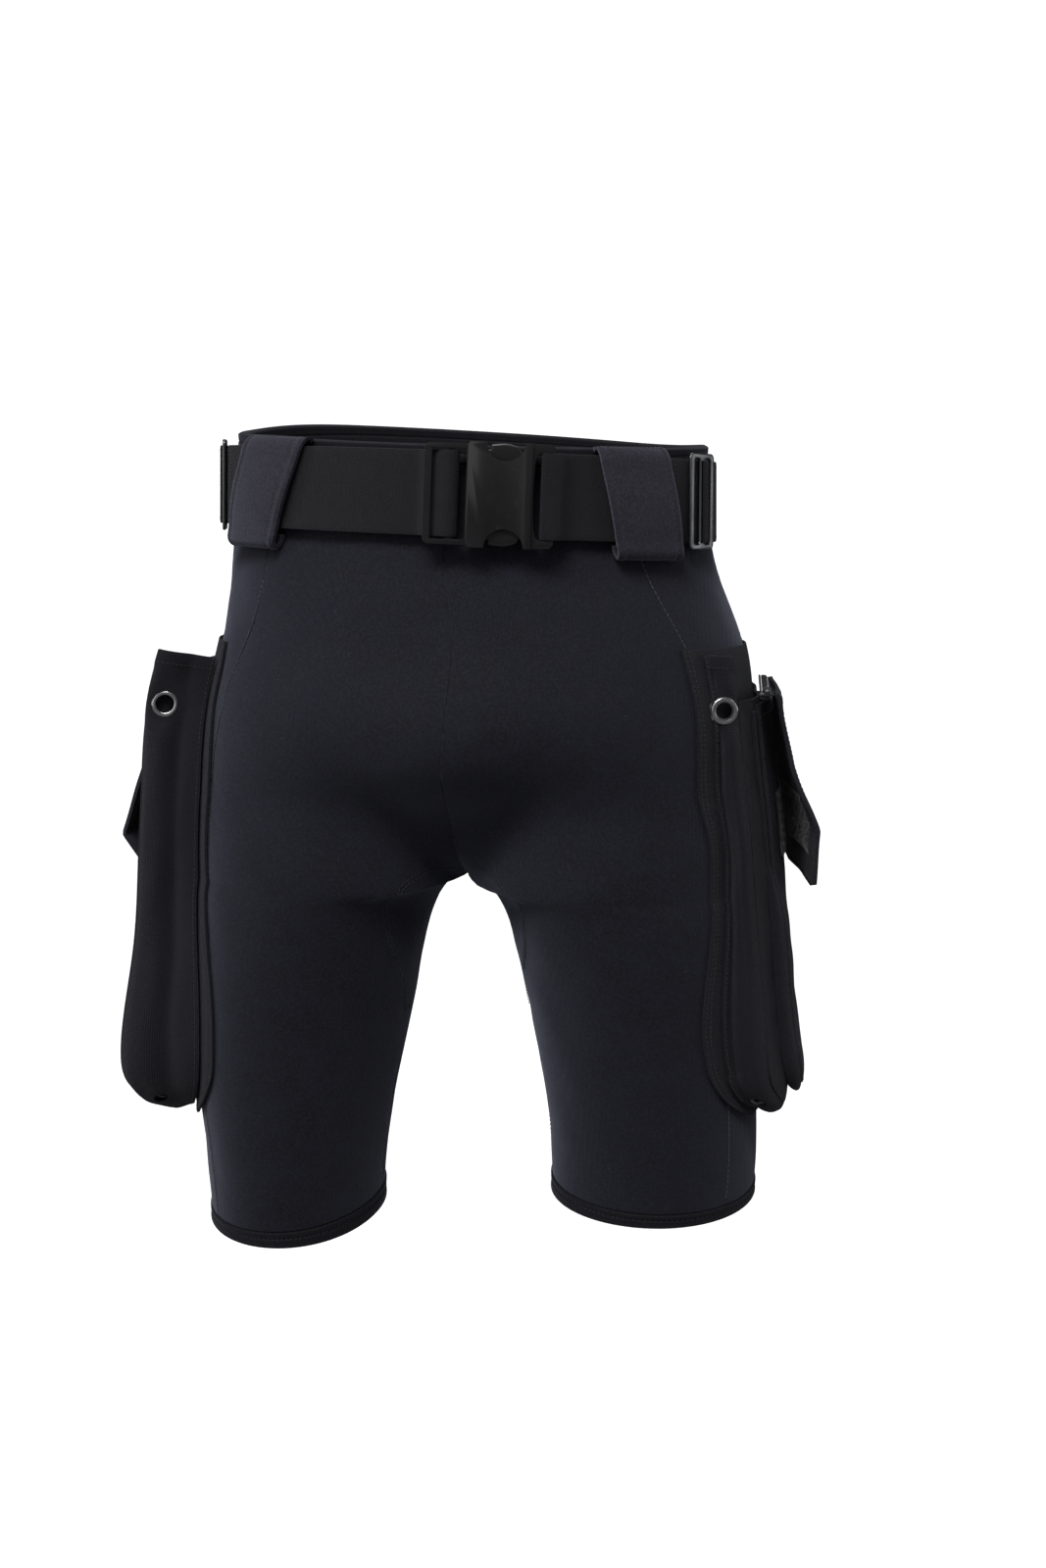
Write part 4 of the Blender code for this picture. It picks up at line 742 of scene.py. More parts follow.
def cells(P, wrap_u, wrap_v):
    nu, nv = P.shape[:2]
    idx = np.arange(nu * nv).reshape(nu, nv)
    I, J = np.meshgrid(np.arange(nu if wrap_u else nu - 1), np.arange(nv if wrap_v else nv - 1), indexing="ij")
    I, J = I.ravel(), J.ravel()
    I1, J1 = I + 1, J + 1
    q = np.stack([idx[I, J], idx[I1 % nu, J], idx[I1 % nu, J1 % nv], idx[I, J1 % nv]], 1)
    U, V = spans(P, wrap_u, wrap_v)
    uv = np.stack([np.stack([U[i], V[j]], 1) for i, j in ((I, J), (I1, J), (I1, J1), (I, J1))], 1)
    return idx, q, uv, U, V


def slab(name, outer, inner, mat, wrap_u=False, wrap_v=False, **kw):
    """A closed sheet between two grids of points (nu, nv, 3)."""
    outer, inner = np.asarray(outer, float), np.asarray(inner, float)
    nu, nv = outer.shape[:2]
    n = nu * nv
    idx, q, uv, U, V = cells(outer, wrap_u, wrap_v)
    faces = q.tolist() + (q[:, ::-1] + n).tolist()
    uvs = [uv, uv[:, ::-1]]
    if not wrap_u:
        for i, flip in ((0, False), (nu - 1, True)):
            j = np.arange(nv if wrap_v else nv - 1)
            a, b = idx[i, j], idx[i, (j + 1) % nv]
            f = np.stack([a, b, b + n, a + n], 1)
            w = np.stack([np.stack([np.full(len(j), U[i]), V[x]], 1) for x in (j, j + 1, j + 1, j)], 1)
            faces += (f[:, ::-1] if flip else f).tolist()
            uvs.append(w[:, ::-1] if flip else w)
    if not wrap_v:
        for j, flip in ((0, True), (nv - 1, False)):
            i = np.arange(nu if wrap_u else nu - 1)
            a, b = idx[i, j], idx[(i + 1) % nu, j]
            f = np.stack([a, b, b + n, a + n], 1)
            w = np.stack([np.stack([U[x], np.full(len(i), V[j])], 1) for x in (i, i + 1, i + 1, i)], 1)
            faces += (f[:, ::-1] if flip else f).tolist()
            uvs.append(w[:, ::-1] if flip else w)
    return build(name, np.concatenate([outer.reshape(-1, 3), inner.reshape(-1, 3)]), faces, mat, uvs=np.concatenate(uvs).reshape(-1, 2), **kw)


def tube(name, P, mat, wrap_u=False, **kw):
    """A closed cross-section (along axis 1) carried along a line (axis 0)."""
    P = np.asarray(P, float)
    nu, nv = P.shape[:2]
    idx, q, uv, U, V = cells(P, wrap_u, True)
    faces, uvs = q.tolist(), [uv.reshape(-1, 2)]
    if not wrap_u:
        for i in (0, nu - 1):
            row = idx[i] if i else idx[i][::-1]
            faces.append(row.tolist())
            uvs.append(np.stack([np.full(nv, U[i]), V[:nv]], 1))
    return build(name, P.reshape(-1, 3), faces, mat, uvs=np.concatenate(uvs), **kw)


def along(P, step):
    """Resamples a polyline at about this step, through a smooth curve."""
    P = np.asarray(P, float)
    s = np.concatenate([[0], np.cumsum(np.linalg.norm(np.diff(P, axis=0), axis=1))])
    q = np.linspace(0, s[-1], max(int(s[-1] / step), 2) + 1)
    return np.stack([spline(s, P[:, i])(q) for i in range(P.shape[1])], 1)


THREADS = {}


def stitch(group, pts, nrm, pitch=0.0030, length=0.0021, r=0.00030, lift=0.00012, mat=None, body=None):
    """A row of stitches along a line on a surface: each is a short thread that rises from the cloth and dips back."""
    pts, nrm = np.asarray(pts, float), np.asarray(nrm, float)
    if nrm.ndim == 1:
        nrm = np.broadcast_to(nrm, pts.shape)
    s = np.concatenate([[0], np.cumsum(np.linalg.norm(np.diff(pts, axis=0), axis=1))])
    n = int(s[-1] / pitch)
    if n < 1:
        return
    c = (np.arange(n) + 0.5) * s[-1] / n
    x = np.array([-1.0, -0.7, -0.25, 0.25, 0.7, 1.0])
    q = c[:, None] + x[None] * length / 2
    at = lambda A, w: np.stack([np.interp(w, s, A[:, i]) for i in range(3)], -1)
    p, nn = at(pts, q), at(nrm, q)
    tt = at(pts, q + 0.0004) - at(pts, q - 0.0004)
    tt /= np.maximum(np.linalg.norm(tt, axis=-1, keepdims=True), 1e-12)
    nn /= np.maximum(np.linalg.norm(nn, axis=-1, keepdims=True), 1e-12)
    b = np.cross(tt, nn)
    p = p + nn * (lift + r * 0.5 - 1.6 * r * np.abs(x) ** 3)[None, :, None]
    rad = r * np.sqrt(np.maximum(1 - (0.93 * np.abs(x)) ** 4, 0.05))
    ang = np.arange(6) * math.pi / 3
    ring = p[:, :, None] + rad[None, :, None, None] * (np.cos(ang)[None, None, :, None] * nn[:, :, None] + np.sin(ang)[None, None, :, None] * b[:, :, None])
    m, na = len(x), len(ang)
    verts = ring.reshape(-1, 3)
    base = np.arange(n) * m * na
    faces = []
    for i in range(m - 1):
        for a in range(na):
            a1 = (a + 1) % na
            f = np.array([i * na + a, i * na + a1, (i + 1) * na + a1, (i + 1) * na + a])
            faces.append(base[:, None] + f[None])
    quads = np.concatenate(faces)
    caps = np.concatenate([base[:, None] + np.arange(na)[::-1][None], base[:, None] + ((m - 1) * na + np.arange(na))[None]])
    THREADS.setdefault((group, body or ROOT, mat or THREAD), []).append((verts, quads, caps))


def finish_threads():
    for (group, body, mat), parts in THREADS.items():
        n, V, F = 0, [], []
        for v, q, c in parts:
            V.append(v)
            F += (q + n).tolist() + (c + n).tolist()
            n += len(v)
        v = warp(np.concatenate(V)) + SHIFT
        me = bpy.data.meshes.new(group)
        me.from_pydata(v.tolist(), [], F)
        me.materials.append(mat)
        me.shade_smooth()
        ob = bpy.data.objects.new(group, me)
        bpy.context.scene.collection.objects.link(ob)
        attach(ob, body)


RNG = np.random.default_rng(11)
WAVES = [(RNG.normal(size=(10, 3)), RNG.uniform(0, 2 * math.pi, 10)) for _ in range(8)]


def ripple(P, size, seed=0):
    """Smooth unevenness of about unit height and this wavelength, at points."""
    d, ph = WAVES[seed]
    d = d / np.linalg.norm(d, axis=1, keepdims=True)
    a = np.asarray(P, float) @ (d.T * (2 * math.pi / size)) * (0.75 + 0.05 * np.arange(10)) + ph
    return np.sin(a).sum(-1) / 3.2


def gauss(x, c, w):
    return np.exp(-(((x - c) / w) ** 2))


# ---------------------------------------------------------------- neoprene panels
RSUB, CSUB = 4, 5
ROWS_F = np.concatenate([np.linspace(a, b, RSUB, endpoint=False) for a, b in zip(ROWS[:-1], ROWS[1:])] + [[ROWS[-1]]])


def columns_f(k):
    c = columns(k)
    return np.concatenate([np.linspace(a, b, CSUB, endpoint=False) for a, b in zip(c[:-1], c[1:])] + [[1.0]])


TF = np.array([columns_f(k) for k in ROWS_F])
NCF = TF.shape[1] - 1
KK = np.broadcast_to(ROWS_F[:, None], TF.shape)


def skin(side, k, t, off, layer):
    """The neoprene's outer (0) or inner (1) face, with the slight unevenness of stretched foam."""
    p = SURF.at(side, k, t)
    if layer == 0:
        fade = np.clip((k - 0.25) / 0.25, 0, 1) * np.clip((2.93 - k) / 0.1, 0, 1)
        off = off + fade * (0.00045 * ripple(p, 0.075, 1) + 0.00022 * ripple(p, 0.028, 2))
    return SURF.at(side, k, t, off)


LAYERS = {(s, l): skin(s, KK, TF, (0.0, -NEO_T)[l], l) for s in (1, -1) for l in (0, 1)}


def panel(name, node, sides, cell, mat=NEO, inset=0.00012):
    spots, ends, lean, faces, index = [], [], [], [], {}
    for side in sides:
        G = np.round(SURF.at(side, KK, TF), 6) + 0.0
        for i in range(len(ROWS_F) - 1):
            for j in range(NCF):
                if not cell(i // RSUB, j // CSUB):
                    continue
                f = []
                for a, b, sk, st in ((i, j, 1, 1), (i + 1, j, -1, 1), (i + 1, j + 1, -1, -1), (i, j + 1, 1, -1)):
                    key = tuple(G[a, b])
                    if key not in index:
                        index[key] = len(spots)
                        spots.append((side, a, b))
                        ends.append(set())
                        lean.append([0, 0])
                    v = index[key]
                    ends[v].add((side, b in (0, NCF) and b))
                    lean[v][0] += sk
                    lean[v][1] += st
                    f.append(v)
                faces.append(f if side > 0 else f[::-1])
    use = {}
    for f in faces:
        for a, b in zip(f, f[1:] + f[:1]):
            use.setdefault(frozenset((a, b)), []).append((a, b))
    rim = [e[0] for e in use.values() if len(e) == 1]
    rim_v = {v for e in rim for v in e}
    verts = [[], []]
    for v, (side, a, b) in enumerate(spots):
        k, t = ROWS_F[a], TF[a, b]
        moved = v in rim_v
        if moved:
            e = 0.004
            pk = np.linalg.norm(SURF.at(side, min(k + e, 3), t) - SURF.at(side, max(k - e, 0), t)) / (2 * e)
            pt = np.linalg.norm(SURF.at(side, k, min(t + e, 1)) - SURF.at(side, k, max(t - e, 0))) / ((min(t + e, 1) - max(t - e, 0)))
            sk, st = np.sign(lean[v][0]), np.sign(lean[v][1])
            if len(ends[v]) > 1:
                st = 0
            k, t = k + sk * inset / max(pk, 0.02), min(max(t + st * inset / max(pt, 0.02), 0.0), 1.0)
        for layer in (0, 1):
            p = skin(side, k, t, (0.0, -NEO_T)[layer], layer) if moved else LAYERS[side, layer][a, b].copy()
            if len(ends[v]) > 1 and k <= 2 + 1e-9:
                p[0] = 0.0
            verts[layer].append(p)
    n = len(spots)
    out = [tuple(f) for f in faces] + [tuple(v + n for v in f[::-1]) for f in faces]
    out += [(b, a, a + n, b + n) for a, b in rim]
    return build(name, np.concatenate([verts[0], verts[1]]), out, mat, nodes=(node,), smooth=60, bevel=0.0003, seg=2, angle=55)


def in_gusset(i, j):
    return G0 <= i < G1 and (j == 0 or j == NC - 1)


for tag, side in (("l", 1), ("r", -1)):
    panel(f"neoprene_front_{tag}", f"front_panel_{tag}", [side], lambda i, j: j < 5 and not in_gusset(i, j))
    panel(f"neoprene_back_{tag}", f"back_panel_{tag}", [side], lambda i, j: j >= 5 and not in_gusset(i, j))
panel("neoprene_crotch_gusset", "crotch_gusset", [1, -1], in_gusset)


def surf_line(side, ks, ts, off=0.0):
    """Points and outward directions along a line on the neoprene."""
    p = SURF.at(side, ks, ts, off)
    q = SURF.at(side, ks, ts, np.asarray(off) + 0.001)
    return p, (q - p) / 0.001


def seam(group, side, ks, ts, gap=0.0016, mat=None, both=True, **kw):
    """Stitches either side of a butted seam."""
    p, n = surf_line(side, ks, ts)
    d = np.gradient(p, axis=0)
    d /= np.maximum(np.linalg.norm(d, axis=1, keepdims=True), 1e-9)
    b = np.cross(d, n)
    for s in ((-1, 1) if both else (1,)):
        stitch(group, p + b * gap * s, n, mat=mat, **kw)


kk = np.linspace(0.34, 2.94, 240)
for tag, side in (("l", 1), ("r", -1)):
    seam(f"stitching_side_{tag}", side, kk, f_ts(kk), gap=0.0004, mat=THREAD_LIGHT, both=False, pitch=0.0034, length=0.0030, r=0.00024)
    g = np.linspace(1.80, 2.52, 90)
    seam(f"stitching_gusset_{tag}", side, g, f_tg(g), gap=0.0013, pitch=0.0028, length=0.0020, r=0.00022)
    seam(f"stitching_gusset_{tag}", side, g, 1 - f_tg(g), gap=0.0013, pitch=0.0028, length=0.0020, r=0.00022)
    g = np.linspace(2.54, 2.94, 40)
    seam(f"stitching_inseam_{tag}", side, g, np.zeros(40), gap=0.0013, pitch=0.0028, length=0.0020, r=0.00022)
g = np.linspace(0.12, 1.77, 120)
for name, t in (("seam_tape_front", 0.0), ("seam_tape_back", 1.0)):
    tk = np.linspace(0.10, 1.80, 110)
    p, n = surf_line(1, tk, np.full(110, t))
    n[:, 0] = 0
    n /= np.linalg.norm(n, axis=1, keepdims=True)
    x = np.array([1.0, 0, 0])
    p[:, 0] = 0
    tube(name, np.stack([p - n * (NEO_T + o) + x * w for o, w in ((0.0001, -0.0035), (0.0001, 0.0035), (0.0006, 0.0035), (0.0006, -0.0035))], 1), NEO_EDGE, smooth=60)
seam("stitching_centre", 1, g, np.full(120, 1.0), gap=0.0013, pitch=0.0028, length=0.0020, r=0.00020)


# ---------------------------------------------------------------- waistband and hems
def ring_pts(n, ks, offs):
    u = np.arange(n) / n
    side, t = np.where(u < 0.5, 1, -1), np.where(u < 0.5, 2 * u, 2 - 2 * u)
    P = SURF.at(1, np.asarray(ks)[None], t[:, None], np.asarray(offs)[None])
    P[..., 0] *= side[:, None]
    return P


def leg_pts(side, n, ks, offs):
    t = np.arange(n) / n
    return SURF.at(side, np.asarray(ks)[None], t[:, None], np.asarray(offs)[None])


def folded(k0, k1, top, grooves, thick=0.0009, depth=0.0007, flip=False):
    """Cross-section of a turned and stitched edge, as (k, offset): outer face down, inner face up. The fold is at k0."""
    u = np.linspace(0, 1, 34)
    out = thick * np.sin(np.clip(u / 0.16, 0, 1) * np.pi / 2) * np.sin(np.clip((1 - u) / 0.07, 0, 1) * np.pi / 2)
    out = out + thick * 0.35 * gauss(u, 0.16, 0.14)
    for g in grooves:
        out = out - depth * gauss(u, g, 0.045)
    lift = -top * (1 - np.sin(np.clip(u / 0.16, 0, 1) * np.pi / 2))
    inn = -NEO_T - out
    ks = k0 + (k1 - k0) * u
    return np.concatenate([ks, ks[::-1]]), np.concatenate([out + lift, (inn - lift)[::-1]])


ks, offs = folded(0.0, KW, 0.0014, (0.50,))
tube("waistband_folded", ring_pts(240, ks, offs), NEO_EDGE, wrap_u=True, nodes=("waistband",), smooth=70)
inner, outer = -NEO_T - 0.0020, -NEO_T - 0.0014
tube("waist_seam_tape", ring_pts(240, [KW - 0.012, KW + 0.014, KW + 0.014, KW - 0.012], [outer, outer, inner, inner]), NEO_EDGE, wrap_u=True, smooth=60)
u = np.append(np.arange(400) / 400, 1.0)
t_all, s_all = np.where(u < 0.5, 2 * u, 2 - 2 * u), np.where(u < 0.5, 1, -1)
p, n = surf_line(1, np.full(401, KW * 0.50), t_all, 0.0001)
flipx = np.stack([s_all, np.ones(401), np.ones(401)], 1)
stitch("stitching_waist", p * flipx, n * flipx, pitch=0.0031, length=0.0023, r=0.00026)
for tag, side in (("l", 1), ("r", -1)):
    ks, offs = folded(3.0, KH, 0.0014, (0.62,))
    tube(f"hem_folded_{tag}", leg_pts(side, 130, ks, offs), NEO_EDGE, wrap_u=True, nodes=(f"hem_band_{tag}",), smooth=70)
    p, n = surf_line(side, np.full(201, 3.0 + (KH - 3.0) * 0.62), np.linspace(0, 0.99999, 201), 0.0001)
    stitch(f"stitching_hem_{tag}", p, n, pitch=0.0031, length=0.0023, r=0.00026)


# ---------------------------------------------------------------- belt loops
def loop(name, node, side, tc, half=0.0235, extra=0.0, lean=0.0, short=1.0):
    prof = along(np.array(LOOP) + np.array([extra, 0.0]), 0.0011)
    s = np.concatenate([[0], np.cumsum(np.linalg.norm(np.diff(prof, axis=0), axis=1))])
    d = np.gradient(prof, axis=0)
    nrm = np.stack([-d[:, 1], d[:, 0]], 1)
    nrm /= np.linalg.norm(nrm, axis=1, keepdims=True)
    scale = float(np.linalg.norm(SURF.at(1, 0.3, tc) - SURF.at(1, 0.3, tc - 0.01))) / 0.01
    w = half * np.sin(np.linspace(-1, 1, 34) * np.pi / 2) ** 1
    edge = half - np.abs(w)
    mid = 1 - np.exp(-(edge / 0.0012) ** 2)
    swell = 0.00045 * mid + 0.0004 * gauss(edge, 0.0022, 0.0016) - 0.00055 * gauss(edge, 0.0046, 0.0007)

    def sheet_at(off):
        rho = prof[:, 0][:, None] + nrm[:, 0][:, None] * off
        z = prof[:, 1][:, None] + nrm[:, 1][:, None] * off
        z = np.where(z < 0, z * short, z)
        tt = np.broadcast_to((tc + w / scale)[None], rho.shape) - lean * z
        over = tt > 1
        t2 = np.where(over, 2 - tt, tt)
        P = SURF.at(1, np.clip(k_at(z, t2), 0.0, 1), t2, rho)
        P[..., 0] *= np.where(over, -side, side)
        return P

    o, i = sheet_at(LOOP_T / 2 + swell[None]), sheet_at(-LOOP_T / 2 - 0.4 * swell[None])
    slab(name, o, i, NEO_LOOP_PAINTED_LIT, nodes=(node,), smooth=70, bevel=0.0008, seg=3, angle=55)
    body = slice(4, len(prof) - 4)
    for sgn in (-1, 1):
        j = int(np.argmin(np.abs(w - sgn * (half - 0.0046))))
        line, back = o[body, j], i[body, j]
        nn = line - back
        stitch("stitching_loops", line, nn / np.linalg.norm(nn, axis=1, keepdims=True), pitch=0.0029, length=0.0021, r=0.00026, lift=-0.0001)
    # the turned-up end is sewn across, and so is the top
    for target in (np.argmin(np.abs(s - (s[-1] - 0.004))),):
        line, back = o[target, 4:-4], i[target, 4:-4]
        nn = line - back
        stitch("stitching_loops", line, nn / np.linalg.norm(nn, axis=1, keepdims=True), pitch=0.0029, length=0.0021, r=0.00026)
    top = int(np.argmin(np.abs(s - 0.0065)))
    line, back = o[top, 4:-4], i[top, 4:-4]
    nn = line - back
    stitch("stitching_loops", line, nn / np.linalg.norm(nn, axis=1, keepdims=True), pitch=0.0029, length=0.0021, r=0.00026)


loop("loop_front_l", "belt_loop_front_l", 1, 0.2565, half=0.0215, lean=0.41, short=0.86)
loop("loop_front_r", "belt_loop_front_r", -1, 0.262, lean=0.80, short=0.91)
loop("loop_back_l", "belt_loop_back_l", 1, 0.735)
loop("loop_back_r", "belt_loop_back_r", -1, 0.735)
loop("loop_back_centre", "belt_loop_back_centre", 1, 1.0, extra=0.0012)


# ---------------------------------------------------------------- webbing
def web_profile():
    """(offset, height) round one webbing: flat faces, a slightly thinner selvedge and rounded edges."""
    z = np.sin(np.linspace(-1, 1, 27) * np.pi / 2) * (WEB_W / 2 - 0.0003)
    edge = WEB_W / 2 - np.abs(z)
    h = WEB_T / 2 * (1 - 0.28 * np.exp(-(edge / 0.0016) ** 2)) + 0.00010 * gauss(edge, 0.0032, 0.0008)
    pts = [(a, b) for a, b in zip(h, z)] + [(0.0, WEB_W / 2)] + [(-a, b) for a, b in zip(h[::-1], z[::-1])] + [(0.0, -WEB_W / 2)]
    return np.array(pts)


WEB_PROF = web_profile()


def strap(name, node, line, ride=True):
    c = along(line, 0.0022)
    d = np.gradient(c, axis=0)
    d /= np.linalg.norm(d, axis=1, keepdims=True)
    n = np.stack([d[:, 1], -d[:, 0]], 1)
    XY = c[:, None] + n[:, None] * WEB_PROF[None, :, :1]
    Z = np.broadcast_to(WEB_PROF[None, :, 1], XY.shape[:2]).copy()
    y = XY[..., 1]
    lean = np.where(y < BELT_YC, WAIST_TILT * Z * np.minimum(1.0, ((y - BELT_YC) / BELT_B) ** 2), 0.0)
    P = np.stack([XY[..., 0] - lean, y, Z], -1)
    return tube(name, P, WEB, nodes=(node,) if node else (), smooth=60, ride=ride)


def front_line(tri, s, stop, hair):
    y_fold = [(-0.5 * s, 7.35), (3.6 * s, 7.2), (5.6 * s, 5.0), (5.0 * s, 2.9), (1.0 * s, 2.45)]
    line = [tri_xy(tri, x, y) for x, y in y_fold]
    start = s * tri - 5.5
    n = 14
    out = [ring_pt(s * (start + (stop - start) * i / n), L2) for i in range(n + 1)]
    back = [ring_pt(s * (stop + (start + 12 - stop) * i / n), L1) for i in range(n + 1)]
    return line + out + hair + back


strap("webbing_front_l", "belt_webbing_front_l",
      front_line(TRI_L, 1, 29.5, [by_ring(45.0, 5.4), buckle_xy(39.5, 9.2)] + fold(34.6, 6.3, 3.7, 90, 270) + [buckle_xy(39.0, 1.5), by_ring(45.0, 1.1)]))
WEB_R = strap("webbing_front_r", "belt_webbing_front_r",
              front_line(TRI_R, -1, 7.0, [by_ring(-39.0, 3.5), buckle_xy(-34.5, 3.9), buckle_xy(-31.0, 4.6), buckle_xy(-27.0, 8.3)]
                         + fold(-21.8, 5.4, 4.0, 90, -90) + [buckle_xy(-27.0, 1.3), by_ring(-36.0, 1.0)]), ride=False)
FLAT = (149.0, 161.0)
back_deg = list(np.linspace(TRI_L + 8.0, FLAT[0], 13)) + [FLAT[1], 166.0, 171.0, 176.0]
back_deg = back_deg + [360 - d for d in reversed(list(np.linspace(-TRI_R + 8.0, FLAT[0], 13)) + [FLAT[1], 166.0, 171.0, 176.0])]
strap("webbing_back", "belt_webbing_back", [ring_pt(d, L1) for d in back_deg])
WEB_R_A = Vector(warp(np.array([*by_ring(-94.0, 1.5), 0.0])) + SHIFT)
WEB_R_B = Vector(warp(np.array([*buckle_xy(-37.0, 4.0), 0.0])) + SHIFT)
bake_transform(WEB_R)

# two rows of stitches across the webbing by each adjuster, where each end is sewn back on itself
for tri, s in ((TRI_L, 1), (TRI_R, -1)):
    for dd in (11.0, 12.4):
        zz = np.linspace(-0.022, 0.022, 40)
        q = ring_pt(tri - s * dd, L2 + WEB_T / 2)
        nn = ellipse(tri - s * dd)[1]
        lean = WAIST_TILT * zz * np.minimum(1.0, ((q[1] - BELT_YC) / BELT_B) ** 2) if q[1] < BELT_YC else 0 * zz
        stitch("stitching_belt", np.stack([q[0] - lean, np.full(40, q[1]), zz], 1), np.array([nn[0], nn[1], 0.0]), pitch=0.0024, length=0.0020, r=0.00028)


# ---------------------------------------------------------------- hard parts (millimetres in a frame)
T_SHIFT = Matrix.Translation(Vector(SHIFT))


def hard(name, bm, mat, m, bevel=0.0, segments=3, angle=35.0):
    bmesh.ops.scale(bm, vec=(0.001, -0.001, 0.001), verts=bm.verts)
    bmesh.ops.recalc_face_normals(bm, faces=bm.faces)
    me = bpy.data.meshes.new(name)
    bm.to_mesh(me)
    bm.free()
    me.materials.append(mat)
    ob = bpy.data.objects.new(name, me)
    bpy.context.scene.collection.objects.link(ob)
    ob.matrix_world = T_SHIFT @ m
    if bevel:
        add_bevel(ob, bevel, segments, angle)
    return ob


def add_bevel(ob, mm, segments=3, angle=40.0):
    b = ob.modifiers.new("soft_edges", "BEVEL")
    b.width, b.segments, b.limit_method = mm / 1000, segments, "ANGLE"
    b.angle_limit = math.radians(angle)
    b.harden_normals = False
    b.use_clamp_overlap = True


TOOLS = []


def tool(bm, m):
    ob = hard("tool", bm, PLASTIC, m)
    TOOLS.append(ob)
    return ob


def cut(ob, t, op="DIFFERENCE"):
    b = ob.modifiers.new(op.lower(), "BOOLEAN")
    b.operation, b.object, b.solver = op, t, "EXACT"


def bake(ob, body=None, nodes=(), smooth=35.0):
    """Applies every modifier and leaves the piece riding on its body."""
    bpy.context.view_layer.update()
    dg = bpy.context.evaluated_depsgraph_get()
    me = bpy.data.meshes.new_from_object(ob.evaluated_get(dg), depsgraph=dg)
    me.transform(ob.matrix_world)
    ob.modifiers.clear()
    ob.data = me
    ob.matrix_world = Matrix.Identity(4)
    me.shade_smooth()
    me.set_sharp_from_angle(angle=math.radians(smooth))
    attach(ob, body or ROOT)
    if nodes:
        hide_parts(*nodes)
    return ob


# female part of the buckle
HB = 30.4
top = [(-11.9, 28.6), (-10.4, HB), (-1.6, HB)]
top += [(9.8 + 11.4 * math.cos(math.radians(a)), HB + 0.4 - 11.2 * math.sin(math.radians(a))) for a in range(178, 1, -8)]
top += [(21.9, HB), (36.2, HB - 0.6), (38.2, HB - 2.6), (38.2, HB - 5.4), (30.5, HB - 5.0), (28.6, HB - 5.8), (27.6, HB - 7.4), (27.0, HB - 9.4), (26.6, HB - 12.0), (26.2, HB - 20.0), (26.0, 0.0)]
bm = bmesh.new()
prism(bm, top + [(x, -z) for x, z in reversed(top[:-1])], 0.8, 13.4)
female = hard("buckle_socket", bm, PLASTIC, M_B)
bm = bmesh.new()
box(bm, -13.0, 22.0, 3.2, 11.0, -27.5, 27.5)
cut(female, tool(bm, M_B))
bm = bmesh.new()
box(bm, 25.0, 40.0, 9.2, 15.0, -32.0, 32.0)
box(bm, 28.5, 40.0, -1.0, 3.4, -32.0, 32.0)
cut(female, tool(bm, M_B))
bm = bmesh.new()
prism(bm, round_rect(32.9, 36.3, -26.5, 26.5, 0.6, 3), 4.7, 7.9)
cut(female, tool(bm, M_B), "UNION")
add_bevel(female, 0.75, 3, 38)
bake(female, nodes=("buckle_female",), smooth=30)

# male part of the buckle
bm = bmesh.new()
prism(bm, round_rect(-36.9, -9.0, -29.2, 29.2, 3.6, 8), 3.6, 9.4)
male = hard("buckle_plug", bm, PLASTIC, M_B)
bm = bmesh.new()
box(bm, -32.6, -12.7, 0, 15, -26.2, 26.2)
cut(male, tool(bm, M_B))
bm = bmesh.new()
box(bm, -12.25, 0.0, 0, 15, 27.1, 32.0)
box(bm, -12.25, 0.0, 0, 15, -32.0, -27.1)
box(bm, -33.5, -17.9, 7.3, 15.0, -26.2, 26.2)
box(bm, -40.0, -16.0, 0.0, 5.2, -25.8, 25.8)
cut(male, tool(bm, M_B))
bm = bmesh.new()
prism(bm, round_rect(-23.7, -19.9, -27.0, 27.0, 0.5, 3), 3.85, 6.9)
cut(male, tool(bm, M_B), "UNION")
bm = bmesh.new()
prism(bm, round_rect(-36.9, -32.9, -27.5, 27.5, 1.5, 3), 5.6, 9.4)
cut(male, tool(bm, M_B), "UNION")
bm = bmesh.new()
prism(bm, [(-11.0, -5.0), (17.0, -4.0), (19.5, -2.2), (19.5, 2.2), (17.0, 4.0), (-11.0, 5.0)], 4.4, 8.6)
cut(male, tool(bm, M_B), "UNION")
add_bevel(male, 0.7, 3, 40)
bake(male, body="buckle_male", nodes=("buckle_male",), smooth=30)

for tag, s in (("upper", 1), ("lower", -1)):
    out = [(-8.6, 21.6), (3.0, 20.4), (14.0, 18.4), (19.6, 17.6), (20.6, 19.6), (20.2, 23.8), (17.0, 27.4), (14.9, 28.5), (12.5, 29.2), (8.6, 29.6), (4.0, 29.2), (1.0, 28.8), (0.9, 26.0), (-3.0, 25.2), (-8.6, 25.0)]
    bm = bmesh.new()
    prism(bm, [(x, s * z) for x, z in out], 3.9, 10.3)
    ob = hard(f"buckle_arm_{tag}", bm, PLASTIC, M_B, bevel=0.9, segments=4, angle=30)
    bake(ob, body=f"prong_{tag}", nodes=(f"buckle_prong_{tag}",), smooth=30)

for tag, deg in (("l", TRI_L), ("r", TRI_R)):
    m = frame_at(deg)
    bm = bmesh.new()
    prism(bm, round_rect(-13.0, 13.0, -29.0, 29.0, 3.4, 8), 4.0, 6.2)
    tri = hard(f"slider_frame_{tag}", bm, DARKMETAL, m)
    bm = bmesh.new()
    prism(bm, round_rect(2.6, 8.6, -25.8, 25.8, 1.8, 5), 0, 10)
    prism(bm, round_rect(-8.6, -2.6, -25.8, 25.8, 1.8, 5), 0, 10)
    cut(tri, tool(bm, m))
    add_bevel(tri, 0.85, 4, 40)
    bake(tri, body=f"adjuster_{tag}", nodes=(f"slide_adjuster_{tag}",), smooth=50)


